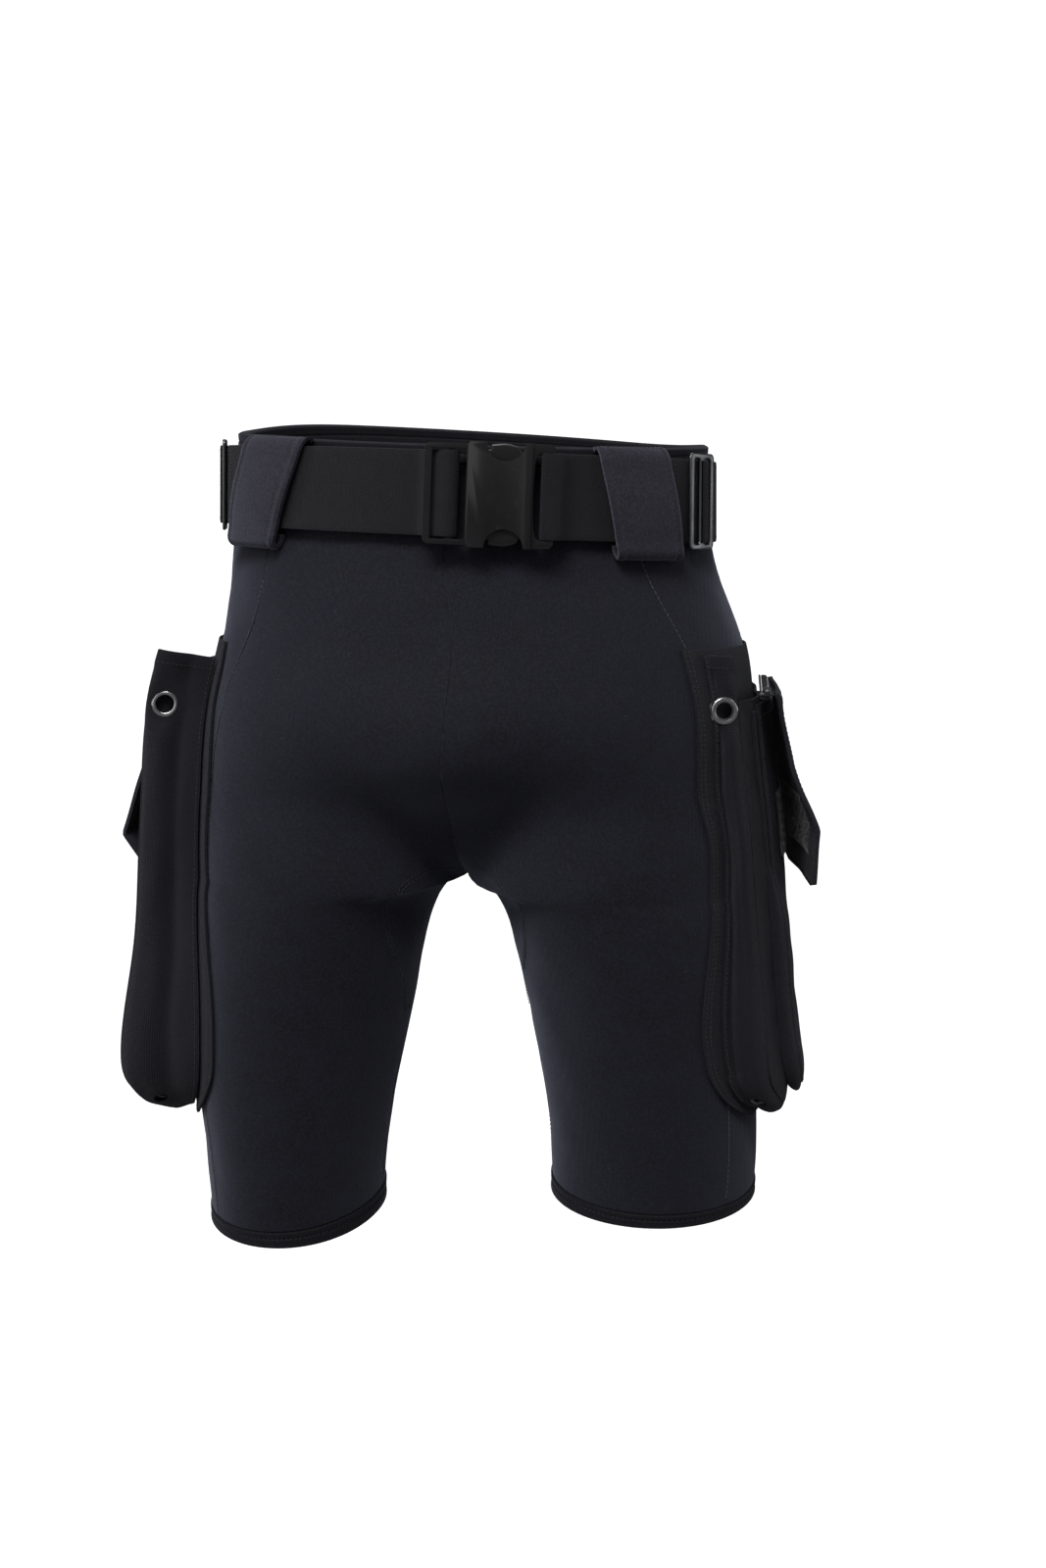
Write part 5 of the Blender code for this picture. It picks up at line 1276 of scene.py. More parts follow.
# ---------------------------------------------------------------- thigh pockets
# heights either side: backing top, wall top at the thigh, how far it drops outward, inner face top, outer wall and face tops, eyelet, zip
TOPS = {1: (-0.0885, -0.0915, 0.0, -0.1200, -0.1265, -0.1225, -0.1240, -0.1165),
        -1: (-0.0980, -0.1085, -0.0055, -0.1260, -0.1400, -0.1360, -0.1365, -0.1225)}
DRAIN_R = 0.035
FLAP_X, FLAP_Z = 0.1900, -0.1162
OUT_YF, OUT_YB = -0.036, 0.073
PY_C, PY_H = (PKT_YF + PKT_YB) / 2, (PKT_YB - PKT_YF) / 2
FAB_OUT = FAB_T


def on_leg(z, t, off):
    """Points of the +X half at heights z in columns t, off outside the neoprene (arrays)."""
    z, t, off = np.broadcast_arrays(np.asarray(z, float), np.asarray(t, float), np.asarray(off, float))
    shape = z.shape
    z, t, off = z.ravel(), t.ravel(), off.ravel()
    j = np.clip(t * SURF.nt, 0, SURF.nt - 1e-9)
    j0 = j.astype(int)
    f = j - j0
    ZC = SURF.P[:, j0, 2] * (1 - f) + SURF.P[:, j0 + 1, 2] * f
    i0 = np.clip((ZC > z).sum(0) - 1, 0, SURF.nk - 1)
    c = np.arange(len(z))
    za, zb = ZC[i0, c], ZC[i0 + 1, c]
    k = (i0 + np.clip((za - z) / np.maximum(za - zb, 1e-9), 0, 1)) * 3 / SURF.nk
    return SURF.at(1, k, t, off).reshape(*shape, 3)


TT = np.linspace(0.25, 0.78, 180)


def leg_table(z, off):
    z = np.atleast_1d(np.asarray(z, float))
    return on_leg(z[:, None], TT[None], off)


def thigh_x(y, z, off):
    """x of the outer thigh at arrays (y, z)."""
    y, z = np.asarray(y, float), np.asarray(z, float)
    tab = leg_table(z, off)
    return np.array([np.interp(a, r[:, 1], r[:, 0]) for a, r in zip(y, tab)])


f_roll = spline([-0.380, -0.365, -0.345, -0.310, -0.280, -0.2265, -0.170, -0.130, -0.098], [0.0100, 0.0185, 0.0205, 0.0165, 0.0135, 0.0155, 0.0180, 0.0210, 0.0220])
f_more = spline([-0.380, -0.365, -0.345, -0.310, -0.280, -0.2265, -0.170, -0.130, -0.098], [0.0010, 0.0030, 0.0038, 0.0050, 0.0055, 0.0045, 0.0045, 0.0080, 0.0062])
f_crease = spline([-0.378, -0.350, -0.320, -0.270, -0.210, -0.155, -0.098], [0.0000, 0.0020, 0.0048, 0.0040, 0.0040, 0.0050, 0.0035])


def face_in(y, z, side=1):
    y, z = np.asarray(y, float), np.asarray(z, float)
    x = f_xi(z) + 0.007 * (1 - ((y - PY_C) / PY_H) ** 2)
    if side > 0:
        return x - f_crease(z) * np.exp(-(((y + 0.043) / 0.009) ** 2)) - 0.0042 * np.exp(-(((y - PKT_YF) / 0.009) ** 2))
    low = np.clip(PKT_BOT + DRAIN_R - z, 0.0, DRAIN_R)
    edge = PKT_YF + DRAIN_R - np.sqrt(DRAIN_R ** 2 - low ** 2)
    return x + (f_roll(z) + f_more(z)) * np.exp(-((np.maximum(0.0, y - edge) / 0.012) ** 2))


def face_out(y, z):
    return f_xo(z) - 0.003 * ((y - PY_C) / PY_H) ** 2


def mouth(y, z):
    """x of the outer compartment's face, pressed flat where its mouth opens in front."""
    shut = smooth01((z + 0.262) / 0.070) * np.exp(-((np.maximum(0.0, y - OUT_YF) / 0.022) ** 2))
    return face_out(y, z) - 0.0085 * shut + 0.0013 * np.exp(-(((y - 0.036) / 0.028) ** 2)) * smooth01((z + 0.262) / 0.050)


f_tuck = {1: spline([-0.378, -0.354, -0.330, -0.287, -0.245, -0.193, -0.130, -0.089], [0.000, -0.0020, -0.0060, -0.0070, -0.0036, -0.0023, -0.0042, -0.0040]),
          -1: spline([-0.378, -0.353, -0.322, -0.297, -0.264, -0.225, -0.198, -0.164, -0.132, -0.110, -0.098],
                     [-0.0030, -0.0076, -0.0112, -0.0115, -0.0090, -0.0050, -0.0040, -0.0020, 0.0050, 0.0130, 0.0155])}


def tuck(y, z, side):
    z = np.asarray(z, float)
    more = 0.0040 * smooth01((-z - 0.17) / 0.05) if side > 0 else 0.0030 + 0.0050 * smooth01((-z - 0.11) / 0.03)
    return np.where(np.asarray(y) < PKT_YF + 0.001, f_tuck[side](z) + more, 0.0)


def flap_in(y, z, side):
    w = 1 - 0.88 * (y + 0.034) / 0.108
    zc = np.minimum(z, -0.1255)
    flare = f_flare(z) if side > 0 else np.interp(z, [-0.2385, -0.2190, -0.1500, -0.1300, -0.1160], [0.0030, 0.0200, 0.0040, 0.0030, 0.0020])
    return face_out(y, zc) + (zc - z) * 0.12 + 0.0036 + flare * w * np.where(z > -0.117, 0.0, 1.0) - (0.0010 if side > 0 else 0.0) * smooth01(y / 0.06)


def rim_path(y0, y1, z0, z1, r, step=0.0036):
    """Down the front, round the bottom and up the back: points, outward directions and the distance from either top end."""
    pts, nrm = [], []
    n = int((z0 - z1 - r) / step)
    for z in np.linspace(z0, z1 + r, n, endpoint=False):
        pts.append((y0, z)); nrm.append((-1, 0))
    m = int(r * 1.57 / step) + 2
    for a in np.linspace(0, math.pi / 2, m, endpoint=False):
        pts.append((y0 + r - r * math.cos(a), z1 + r - r * math.sin(a))); nrm.append((-math.cos(a), -math.sin(a)))
    q = int((y1 - y0 - 2 * r) / step)
    for y in np.linspace(y0 + r, y1 - r, q, endpoint=False):
        pts.append((y, z1)); nrm.append((0, -1))
    for a in np.linspace(0, math.pi / 2, m, endpoint=False):
        pts.append((y1 - r + r * math.sin(a), z1 + r - r * math.cos(a))); nrm.append((math.sin(a), -math.cos(a)))
    for z in np.linspace(z1 + r, z0, n + 1):
        pts.append((y1, z)); nrm.append((1, 0))
    return np.array(pts), np.array(nrm, float)


def mirror(a, side):
    return np.asarray(a, float) * np.array([side, 1.0, 1.0])


def lathe(bm, profile, n=72):
    rings = [[bm.verts.new((r * math.cos(2 * math.pi * i / n), h, r * math.sin(2 * math.pi * i / n))) for r, h in profile] for i in range(n)]
    m = len(profile)
    for i in range(n):
        for j in range(m):
            a, b = rings[i], rings[(i + 1) % n]
            bm.faces.new((a[j], a[(j + 1) % m], b[(j + 1) % m], b[j]))


def rod(bm, r, h0, h1, n=32):
    a = [bm.verts.new((r * math.cos(2 * math.pi * i / n), h0, r * math.sin(2 * math.pi * i / n))) for i in range(n)]
    b = [bm.verts.new((r * math.cos(2 * math.pi * i / n), h1, r * math.sin(2 * math.pi * i / n))) for i in range(n)]
    bm.faces.new(a)
    bm.faces.new(b[::-1])
    for i in range(n):
        bm.faces.new((a[i], a[(i + 1) % n], b[(i + 1) % n], b[i]))


def normals(P):
    """Unit directions across a grid."""
    n = np.cross(np.gradient(P, axis=0), np.gradient(P, axis=1))
    return n / np.maximum(np.linalg.norm(n, axis=-1, keepdims=True), 1e-12)


def skinned(name, P, thick, mat, out=None, relief=None, **kw):
    """A cloth sheet from its outer face: thickness behind it, relief added on it."""
    n = normals(P)
    if out is not None and (n * out).sum() < 0:
        n = -n
    o = P + (n * relief[..., None] if relief is not None else 0.0)
    i = P - n * thick
    return slab(name, o, i, mat, **kw), o, n


def eye_frame(tag, side):
    EYE_Z = TOPS[side][6]
    tab_b = thigh_x(np.array([PKT_YF + float(tuck(PKT_YF, EYE_Z, side))]), np.array([EYE_Z]), 0.0040)[0]
    run, rise = float(face_in(PKT_YF, EYE_Z, side)) - tab_b, float(tuck(PKT_YF, EYE_Z, side))
    u_eye = 0.43 if side > 0 else 0.65
    x_eye, y_eye = tab_b + u_eye * run, PKT_YF + (1 - u_eye) * rise
    lean = (1 - u_eye) * float(tuck(PKT_YF, EYE_Z + 0.005, side) - tuck(PKT_YF, EYE_Z - 0.005, side)) / 0.01
    return x_eye, frame_from(warp(np.array([side * x_eye, y_eye, EYE_Z])), (run, -side * rise, 0), (-side * rise, -run, run * lean))


for tag, side in (("l", 1), ("r", -1)):
    outward = np.array([side, 0.0, 0.0])
    BACK_Z, HEM_Z, DROP, FACE_Z, OUTW_Z, OUTF_Z, EYE_Z, ZZ = TOPS[side]
    # ---- backing sheet on the thigh, its edge turned in and sewn twice
    zt = np.linspace(BACK_Z, -0.3835, 96)
    drop = np.maximum(0.0, -0.3435 - zt) / 0.041
    pull = 0.0415 * (1 - np.sqrt(np.maximum(0.0, 1 - np.minimum(drop, 0.97) ** 2)))
    tab = leg_table(zt, 0.0)
    ya = PKT_YF - 0.0065 + tuck(PKT_YF, zt, side) + pull
    yb = PKT_YB + 0.0065 - pull
    frac = np.concatenate([[0, 0.006, 0.013, 0.020, 0.028, 0.036, 0.044, 0.055], np.linspace(0.07, 0.93, 26), 1 - np.array([0.055, 0.044, 0.036, 0.028, 0.020, 0.013, 0.006, 0])])
    ta = np.array([np.interp(a, r[:100, 1], TT[:100]) for a, r in zip(ya, tab)])
    tb = np.array([np.interp(b, r[80:, 1], TT[80:]) for b, r in zip(yb, tab)])
    T = ta[:, None] + (tb - ta)[:, None] * frac[None]
    Z = np.broadcast_to(zt[:, None], T.shape)
    P0 = on_leg(Z, T, 0.0012)
    edge = np.minimum(np.minimum(np.linalg.norm(P0 - P0[:, :1], axis=-1), np.linalg.norm(P0 - P0[:, -1:], axis=-1)), np.abs(Z + 0.3835) * 1.3)
    rel = 0.0006 * (1 - smooth01((edge - 0.0062) / 0.0016)) - 0.00045 * gauss(edge, 0.0022, 0.0006) - 0.00045 * gauss(edge, 0.0052, 0.0006)
    o = on_leg(Z, T, 0.0012 + FAB_T + np.maximum(rel, -0.0003))
    slab(f"pocket_backing_cloth_{tag}", mirror(o, side), mirror(P0, side), FAB, nodes=(f"pocket_backing_{tag}",), smooth=60, bevel=0.0005, seg=2)
    n = normals(o)
    n = n * np.sign((n * np.array([1.0, 0, 0])).sum(-1, keepdims=True))
    for dist in (0.0022, 0.0052):
        for col in (0, -1):
            path = []
            for r in range(len(zt)):
                d = np.linalg.norm(o[r] - o[r, col], axis=1)
                order = slice(0, 14) if col == 0 else slice(-1, -15, -1)
                dd, oo = d[order], o[r][order]
                path.append([np.interp(dist, dd, oo[:, c]) for c in range(3)])
            path = mirror(path, side)
            nn = mirror(n[:, 2 if col == 0 else -3], side)
            stitch(f"stitching_pocket_{tag}", path, nn, pitch=0.0030, length=0.0022, r=0.00024, lift=0.0)

    # ---- the inner compartment: side wall round the front, bottom and back
    path, nrm = rim_path(PKT_YF, PKT_YB, HEM_Z, PKT_BOT, DRAIN_R)
    y, z = path[:, 0], path[:, 1]
    xa = thigh_x(y + tuck(y, z, side), z, 0.0040)
    xb = face_in(y, z, side) - (0.0008 if side > 0 else 0.0024)
    U = np.concatenate([np.linspace(0, 0.1, 4, endpoint=False), np.linspace(0.1, 0.9, 22, endpoint=False), np.linspace(0.9, 1.0, 6)])
    front = np.clip(-nrm[:, 0], 0, 1)[:, None] ** 2
    low = np.clip(-nrm[:, 1], 0, 1)[:, None] ** 2
    rear = np.clip(nrm[:, 0], 0, 1)[:, None] ** 2
    top_d = np.where(path[:, 0] < PY_C, HEM_Z - path[:, 1], HEM_Z - path[:, 1])[:, None]
    u = U[None]
    x_eye, me = eye_frame(tag, side)
    X = xa[:, None] + (xb - xa)[:, None] * u
    eye_d = np.sqrt((X - x_eye) ** 2 + (z[:, None] - EYE_Z) ** 2)
    calm = 1 - np.exp(-((eye_d / 0.0145) ** 4)) * front
    base3 = np.stack([X, np.broadcast_to(y[:, None], X.shape), np.broadcast_to(z[:, None], X.shape)], -1)
    wig = 0.0009 * ripple(base3 * np.array([1.0, 1.0, 0.55]), 0.034, 3) + 0.0007 * ripple(base3 * np.array([1.0, 1.0, 0.35]), 0.017, 4)
    valley = 0.0046 if side > 0 else 0.0034
    vc = 0.20 if side > 0 else 0.42
    off = front * (-valley * gauss(u, vc, 0.12) + 0.0030 * gauss(u, 0.72, 0.22) - 0.0046 * np.clip((u - 0.84) / 0.16, 0, 1) ** 2)
    off = off + low * (0.0030 * np.sin(np.pi * u) - 0.0040 * np.clip((u - 0.84) / 0.16, 0, 1) ** 2)
    off = off + rear * (0.0030 * np.sin(np.pi * u) - 0.0040 * np.clip((u - 0.84) / 0.16, 0, 1) ** 2)
    fold_u = np.sin(np.pi * np.clip(u, 0, 1))
    off = (off + wig * fold_u) * calm
    near_top = smooth01(top_d / 0.030)
    off = off * (0.35 + 0.65 * near_top)
    hemmed = 0.0007 * (1 - smooth01((top_d - 0.0072) / 0.0012)) - 0.0006 * gauss(top_d, 0.0058, 0.0008)
    tk = tuck(y, z, side)[:, None] * (1 - u)
    down = DROP * u * (1 - smooth01(top_d / 0.05))
    P = np.stack([X, y[:, None] + nrm[:, :1] * off + tk, z[:, None] + nrm[:, 1:] * off - down], -1)
    P = mirror(P, side)
    wall3 = np.stack([np.zeros(len(y)), nrm[:, 0], nrm[:, 1]], -1)[:, None]
    n = normals(P)
    if (n * wall3).sum() < 0:
        n = -n
    o, i = P + n * (FAB_T / 2 + hemmed[..., None]), P - n * (FAB_T / 2 + 0.5 * hemmed[..., None])
    gus = slab(f"pocket_wall_{tag}", o, i, FAB, nodes=(f"pocket_gusset_{tag}",), smooth=70)
    # stitches: along the hem, and where the wall meets the backing
    row = int(np.argmin(np.abs(top_d[:60, 0] - 0.0058)))
    stitch(f"stitching_pocket_{tag}", o[row, 2:-2], n[row, 2:-2], pitch=0.0028, length=0.0021, r=0.00026)
    stitch(f"stitching_pocket_{tag}", o[-1 - row, 2:-2], n[-1 - row, 2:-2], pitch=0.0028, length=0.0021, r=0.00026)
    stitch(f"stitching_pocket_{tag}", o[:, 2] + n[:, 2] * 0.0001, n[:, 2], pitch=0.0030, length=0.0022, r=0.00024)

    # ---- the inner compartment's outer face
    def cloth_face(name, nodes, y0, y1, z0, z1, r, fx, amp, thick=FAB_T, seed=5, nz=74, ny=44, pillow=0.0):
        zz = np.concatenate([np.linspace(z0, z1 + r, nz - 16, endpoint=False), z1 + r - r * np.sin(np.linspace(0, 80, 16) * math.pi / 180) / math.sin(math.radians(80))])
        a = np.clip((z1 + r - zz) / r, 0, 1) * math.sin(math.radians(80))
        inn = r * (1 - np.sqrt(1 - a**2))
        v = (1 - np.cos(np.linspace(0, math.pi, ny))) / 2
        v = 0.5 * v + 0.5 * np.linspace(0, 1, ny)
        Y = (y0 + inn)[:, None] + (y1 - y0 - 2 * inn)[:, None] * v[None]
        Zg = np.broadcast_to(zz[:, None], Y.shape)
        Xg = fx(Y, Zg)
        G = np.stack([Xg, Y, Zg], -1)
        lip = np.minimum(np.minimum(np.clip((Y - y0 - inn[:, None]) / 0.018, 0, 1), np.clip((y1 - inn[:, None] - Y) / 0.018, 0, 1)), np.clip((Zg - z1) / 0.018, 0, 1))
        free = smooth01(lip)
        G[..., 0] += free * (amp * ripple(G * np.array([1, 1, 0.6]), 0.052, seed) + 0.5 * amp * ripple(G * np.array([1, 0.7, 1.0]), 0.024, seed + 1)) + pillow * free
        G[..., 0] -= 0.0012 * (1 - lip) ** 2
        G = mirror(G, side)
        ob, o2, n2 = skinned(name, G, thick, FAB, out=outward, nodes=nodes, smooth=70, bevel=0.0005)
        return ob, o2, n2, Y, Zg

    fin = lambda Y, Z: face_in(Y, Z, side) + FAB_T - 0.0002
    cloth_face(f"pocket_front_cloth_{tag}", (f"pocket_face_{tag}",), PKT_YF + 0.0035, PKT_YB - 0.0035, FACE_Z + 0.0005, PKT_BOT + 0.0035, DRAIN_R - 0.0035, fin, 0.0007)

    # ---- the outer compartment: its wall and its face
    opath, onrm = rim_path(OUT_YF, OUT_YB, OUTW_Z, PKT_BOT + 0.008, 0.030)
    y, z = opath[:, 0], opath[:, 1]
    xa = face_in(y, z, side) + FAB_T + (0.0006 if side > 0 else 0.0012)
    xb = np.maximum(mouth(y, z) - 0.0010, xa + 0.0015)
    u = np.linspace(0, 1, 12)[None]
    X = xa[:, None] + (xb - xa)[:, None] * u
    b3 = np.stack([X, np.broadcast_to(y[:, None], X.shape), np.broadcast_to(z[:, None], X.shape)], -1)
    wig = 0.0003 * ripple(b3 * np.array([1, 1, 0.5]), 0.030, 6)
    off = 0.0022 * np.sin(np.pi * u) + wig * np.sin(np.pi * u) - 0.0034 * np.clip((u - 0.70) / 0.30, 0, 1) ** 2
    P = mirror(np.stack([X, y[:, None] + onrm[:, :1] * off, z[:, None] + onrm[:, 1:] * off], -1), side)
    wall3 = np.stack([np.zeros(len(y)), onrm[:, 0], onrm[:, 1]], -1)[:, None]
    n = normals(P)
    if (n * wall3).sum() < 0:
        n = -n
    slab(f"outer_wall_{tag}", P + n * FAB_T / 2, P - n * FAB_T / 2, FAB, nodes=(f"outer_gusset_{tag}",), smooth=70)
    ob, oo, on, oY, oZ = cloth_face(f"outer_cloth_{tag}", (f"outer_face_{tag}",), OUT_YF + 0.0026, OUT_YB - 0.0026, OUTF_Z, PKT_BOT + 0.0106, 0.0275,
                                    lambda Y, Z: np.maximum(mouth(Y, Z), face_in(Y, Z, side) + 0.0036) + FAB_T - 0.0002, 0.0004, seed=2)
    for c in (2, -3):
        stitch(f"stitching_pocket_{tag}", oo[2:-4, c], on[2:-4, c], pitch=0.0030, length=0.0022, r=0.00026)
    stitch(f"stitching_pocket_{tag}", oo[2, 2:-2], on[2, 2:-2], pitch=0.0030, length=0.0022, r=0.00026)

    # ---- flap: two plies, its edge bound and sewn
    zr = np.concatenate([np.linspace(-0.1165, -0.205, 34, endpoint=False), np.linspace(-0.205, -0.2385, 22)])
    ya = np.interp(-zr, [0.1165, 0.217, 0.2335, 0.2385], [-0.034, -0.034, -0.033, -0.014])
    yb = np.interp(-zr, [0.1165, 0.217, 0.2335, 0.2385], [0.074, 0.074, 0.073, 0.062])
    v = np.concatenate([np.linspace(0, 0.06, 6, endpoint=False), np.linspace(0.06, 0.94, 34, endpoint=False), np.linspace(0.94, 1, 7)])
    Y = ya[:, None] + (yb - ya)[:, None] * v[None]
    Zg = np.broadcast_to(zr[:, None], Y.shape)
    Xg = flap_in(Y, Zg, side)
    G = np.stack([Xg, Y, Zg], -1)
    rim = np.minimum(np.minimum(Y - ya[:, None], yb[:, None] - Y), (Zg + 0.2395) * 1.0)
    soft = smooth01((-0.125 - Zg) / 0.05)
    G[..., 0] += soft * 0.0006 * ripple(G, 0.045, 7)
    binding = 0.0005 * (1 - smooth01((rim - 0.0062) / 0.0012)) - 0.0005 * gauss(rim, 0.0050, 0.0006)
    Gm = mirror(G, side)
    n = normals(Gm)
    if (n * outward).sum() < 0:
        n = -n
    o, i = Gm + n * (0.0018 + binding[..., None]), Gm - n * np.maximum(binding, 0)[..., None] * 0.4
    slab(f"flap_cloth_{tag}", o, i, FAB, body=f"flap_{tag}", nodes=(f"pocket_flap_{tag}",), smooth=60, bevel=0.0007, seg=3)
    ca = int(np.argmin(np.abs(v - 0.0050 / 0.108)))
    for face, sgn in ((o, 1), (i, -1)):
        stitch(f"stitching_flap_{tag}", face[4:46, ca], n[4:46, ca] * sgn, pitch=0.0030, length=0.0022, r=0.00026, body=f"flap_{tag}")
        stitch(f"stitching_flap_{tag}", face[4:46, -1 - ca], n[4:46, -1 - ca] * sgn, pitch=0.0030, length=0.0022, r=0.00026, body=f"flap_{tag}")
        stitch(f"stitching_flap_{tag}", face[-4, 3:-3], n[-4, 3:-3] * sgn, pitch=0.0030, length=0.0022, r=0.00026, body=f"flap_{tag}")
        stitch(f"stitching_flap_{tag}", face[2, 3:-3], n[2, 3:-3] * sgn, pitch=0.0030, length=0.0022, r=0.00026, body=f"flap_{tag}")

    # ---- hook and loop
    def patch(name, node, y0, y1, z0, z1, fx, thick, sgn, body):
        zz, yy = np.linspace(z0, z1, 46), np.linspace(y0, y1, 70)
        Yp, Zp = np.meshgrid(yy, zz)
        G = np.stack([fx(Yp, Zp), Yp, Zp], -1)
        e = np.minimum(np.minimum(Yp - y0, y1 - Yp), np.minimum(z0 - Zp, Zp - z1))
        tuft = (0.00028 * ripple(G * 1.0, 0.0032, 0) + 0.00022 * ripple(G, 0.0021, 5)) * smooth01(e / 0.003)
        Gq = mirror(G, side)
        nn = normals(Gq)
        if (nn * outward).sum() * sgn < 0:
            nn = -nn
        slab(name, Gq + nn * (thick + tuft[..., None]), Gq, HOOK, body=body, nodes=(node,), smooth=80)

    patch(f"hook_strip_{tag}", f"hook_patch_{tag}", -0.012, 0.050, -0.182, -0.219, lambda Y, Z: flap_in(Y, Z, side) + 0.0001, 0.0010, -1, f"flap_{tag}")
    patch(f"loop_strip_{tag}", f"loop_patch_{tag}", -0.013, 0.051, -0.181, -0.221, lambda Y, Z: np.maximum(mouth(Y, Z), face_in(Y, Z, side) + 0.0036) + FAB_T + 0.0008, 0.0009, 1, ROOT)

    # ---- zip: two tapes with turned edges, a moulded coil, the slider and its pull
    ZX, zy = 0.1805, -0.054 if side > 0 else -0.031
    for part, x0, x1, z0, z1 in (("inner", ZX - 0.0036, ZX - 0.0022, ZZ + 0.0003, ZZ), ("outer", ZX + 0.0022, 0.1842, ZZ - 0.0003, ZZ - 0.0024)):
        ys = np.linspace(zy, 0.076, 60)
        w = np.linspace(0, 1, 8)
        Yt, W = np.meshgrid(ys, w, indexing="ij")
        sag = 0.0003 * np.sin(np.pi * W) * ripple(np.stack([0 * Yt, Yt, 0 * Yt], -1), 0.03, 2)
        top_p = np.stack([x0 + (x1 - x0) * W, Yt, z0 + (z1 - z0) * W + 0.0006 + sag], -1)
        bot_p = top_p - np.array([0, 0, 0.0012])
        slab(f"zip_tape_cloth_{part}_{tag}", mirror(top_p, side), mirror(bot_p, side), TAPE, nodes=(f"zip_tape_{part}_{tag}",), smooth=60, bevel=0.0003)
    mz = frame_from(warp(np.array([side * ZX, zy, ZZ])), (1, 0, slope(ZZ)), (0, 1, 0))
    bm = bmesh.new()
    length = (0.076 - zy) * 1000
    teeth = int(length / 1.3)
    for q in range(teeth):
        yq = -(q + 0.5) * length / teeth
        for hand in (-1, 1):
            sh = 0.32 * hand
            prism(bm, [(hand * 1.85, -0.75), (hand * 1.85, 0.55), (hand * 0.9, 0.95), (hand * -0.55, 0.95), (hand * -0.75, 0.3), (hand * -0.55, -0.75)], yq - 0.30 + sh, yq + 0.30 + sh)
    ob = hard(f"zip_teeth_{tag}", bm, TAPE, mz, bevel=0.14, segments=1, angle=30)
    bake(ob, nodes=(f"zip_coil_{tag}",), smooth=30)
    bm = bmesh.new()
    prism(bm, [(-3.9, 1.5), (3.9, 1.5), (4.2, 1.9), (4.2, 2.6), (3.4, 3.4), (-3.4, 3.4), (-4.2, 2.6), (-4.2, 1.9)], -1.5, -12.5)
    ob = hard(f"zip_runner_{tag}", bm, DARKMETAL, mz)
    bm = bmesh.new()
    prism(bm, [(-6, -3), (-6, 8), (-2.6, 8), (-4.6, -3)], -0.5, -5.0)
    prism(bm, [(6, -3), (6, 8), (2.6, 8), (4.6, -3)], -0.5, -5.0)
    bm2 = bmesh.new()
    prism(bm2, round_rect(-1.2, 1.2, 2.8, 4.4, 0.6, 3), -3.2, -10.2)
    cut(ob, tool(bm2, mz), "UNION")
    bm.free()
    add_bevel(ob, 0.45, 3, 30)
    bake(ob, body=f"zip_slider_{tag}", nodes=(f"zip_slider_{tag}",), smooth=40)
    mp = frame_from(warp(np.array([side * ZX, zy + 0.005, ZZ + 0.0062])), (1, 0, slope(ZZ)), (0, 1, 0))
    bm = bmesh.new()
    rr = [(-1.6, -0.6), (1.6, -0.6), (2.1, 2.0), (2.6, 6.0), (2.6, 17.5), (1.9, 19.4), (0.8, 20.0), (-0.8, 20.0), (-1.9, 19.4), (-2.6, 17.5), (-2.6, 6.0), (-2.1, 2.0)]
    a = [bm.verts.new((x, yv, -0.75)) for x, yv in rr]
    b = [bm.verts.new((x, yv, 0.75)) for x, yv in rr]
    bm.faces.new(a)
    bm.faces.new(b[::-1])
    for q in range(len(rr)):
        bm.faces.new((a[q], a[(q + 1) % len(rr)], b[(q + 1) % len(rr)], b[q]))
    ob = hard(f"zip_puller_{tag}", bm, DARKMETAL, mp)
    for yc, rad in ((16.6, 1.15), (1.2, 0.7)):
        bm = bmesh.new()
        n0 = 20
        a = [bm.verts.new((rad * math.cos(2 * math.pi * q / n0), yc + rad * math.sin(2 * math.pi * q / n0), -3)) for q in range(n0)]
        b = [bm.verts.new((rad * math.cos(2 * math.pi * q / n0), yc + rad * math.sin(2 * math.pi * q / n0), 3)) for q in range(n0)]
        bm.faces.new(a)
        bm.faces.new(b[::-1])
        for q in range(n0):
            bm.faces.new((a[q], a[(q + 1) % n0], b[(q + 1) % n0], b[q]))
        cut(ob, tool(bm, mp))
    add_bevel(ob, 0.35, 3, 40)
    bake(ob, body=f"zip_pull_{tag}", nodes=(f"zip_pull_{tag}",), smooth=40)

    # ---- eyelets
    bm = bmesh.new()
    rod(bm, 5.9 if side > 0 else 6.9, -5.0, 5.0)
    cut(gus, tool(bm, me))
    bm = bmesh.new()
    arc = [(5.0, -1.0), (5.5, -1.0), (5.5, 0.95), (8.35, 0.95), (8.6, 1.05), (8.6, 1.35), (8.3, 1.62), (7.8, 1.84), (7.2, 2.02), (6.6, 2.1), (6.0, 2.06), (5.5, 1.90), (5.15, 1.62), (5.0, 1.25)]
    lathe(bm, arc, 84)
    wide = me if side > 0 else me @ Matrix.Diagonal((1.20, 1.0, 1.18, 1.0))
    bake(hard(f"eyelet_rim_{tag}", bm, METAL, wide), nodes=(f"eyelet_{tag}",), smooth=50)
    bm = bmesh.new()
    lathe(bm, [(5.8, -1.0), (8.0, -1.0), (8.15, -1.15), (8.0, -1.5), (7.5, -1.8), (7.0, -1.95), (6.4, -1.9), (5.8, -1.65)], 60)
    bake(hard(f"eyelet_back_{tag}", bm, METAL, me), nodes=(f"eyelet_washer_{tag}",), smooth=50)
    q = 0.035 * math.cos(math.radians(15)) * math.sqrt(0.5)
    yd, zd = PKT_YF + 0.035 - q, PKT_BOT + 0.035 - q
    xd = (thigh_x(np.array([yd + float(tuck(yd, zd, side))]), np.array([zd]), 0.0040)[0] + float(face_in(yd, zd, side))) / 2
    md = frame_from(warp(np.array([side * xd, yd, zd])), (1, 0, 0), (0, 1, 1))
    bm = bmesh.new()
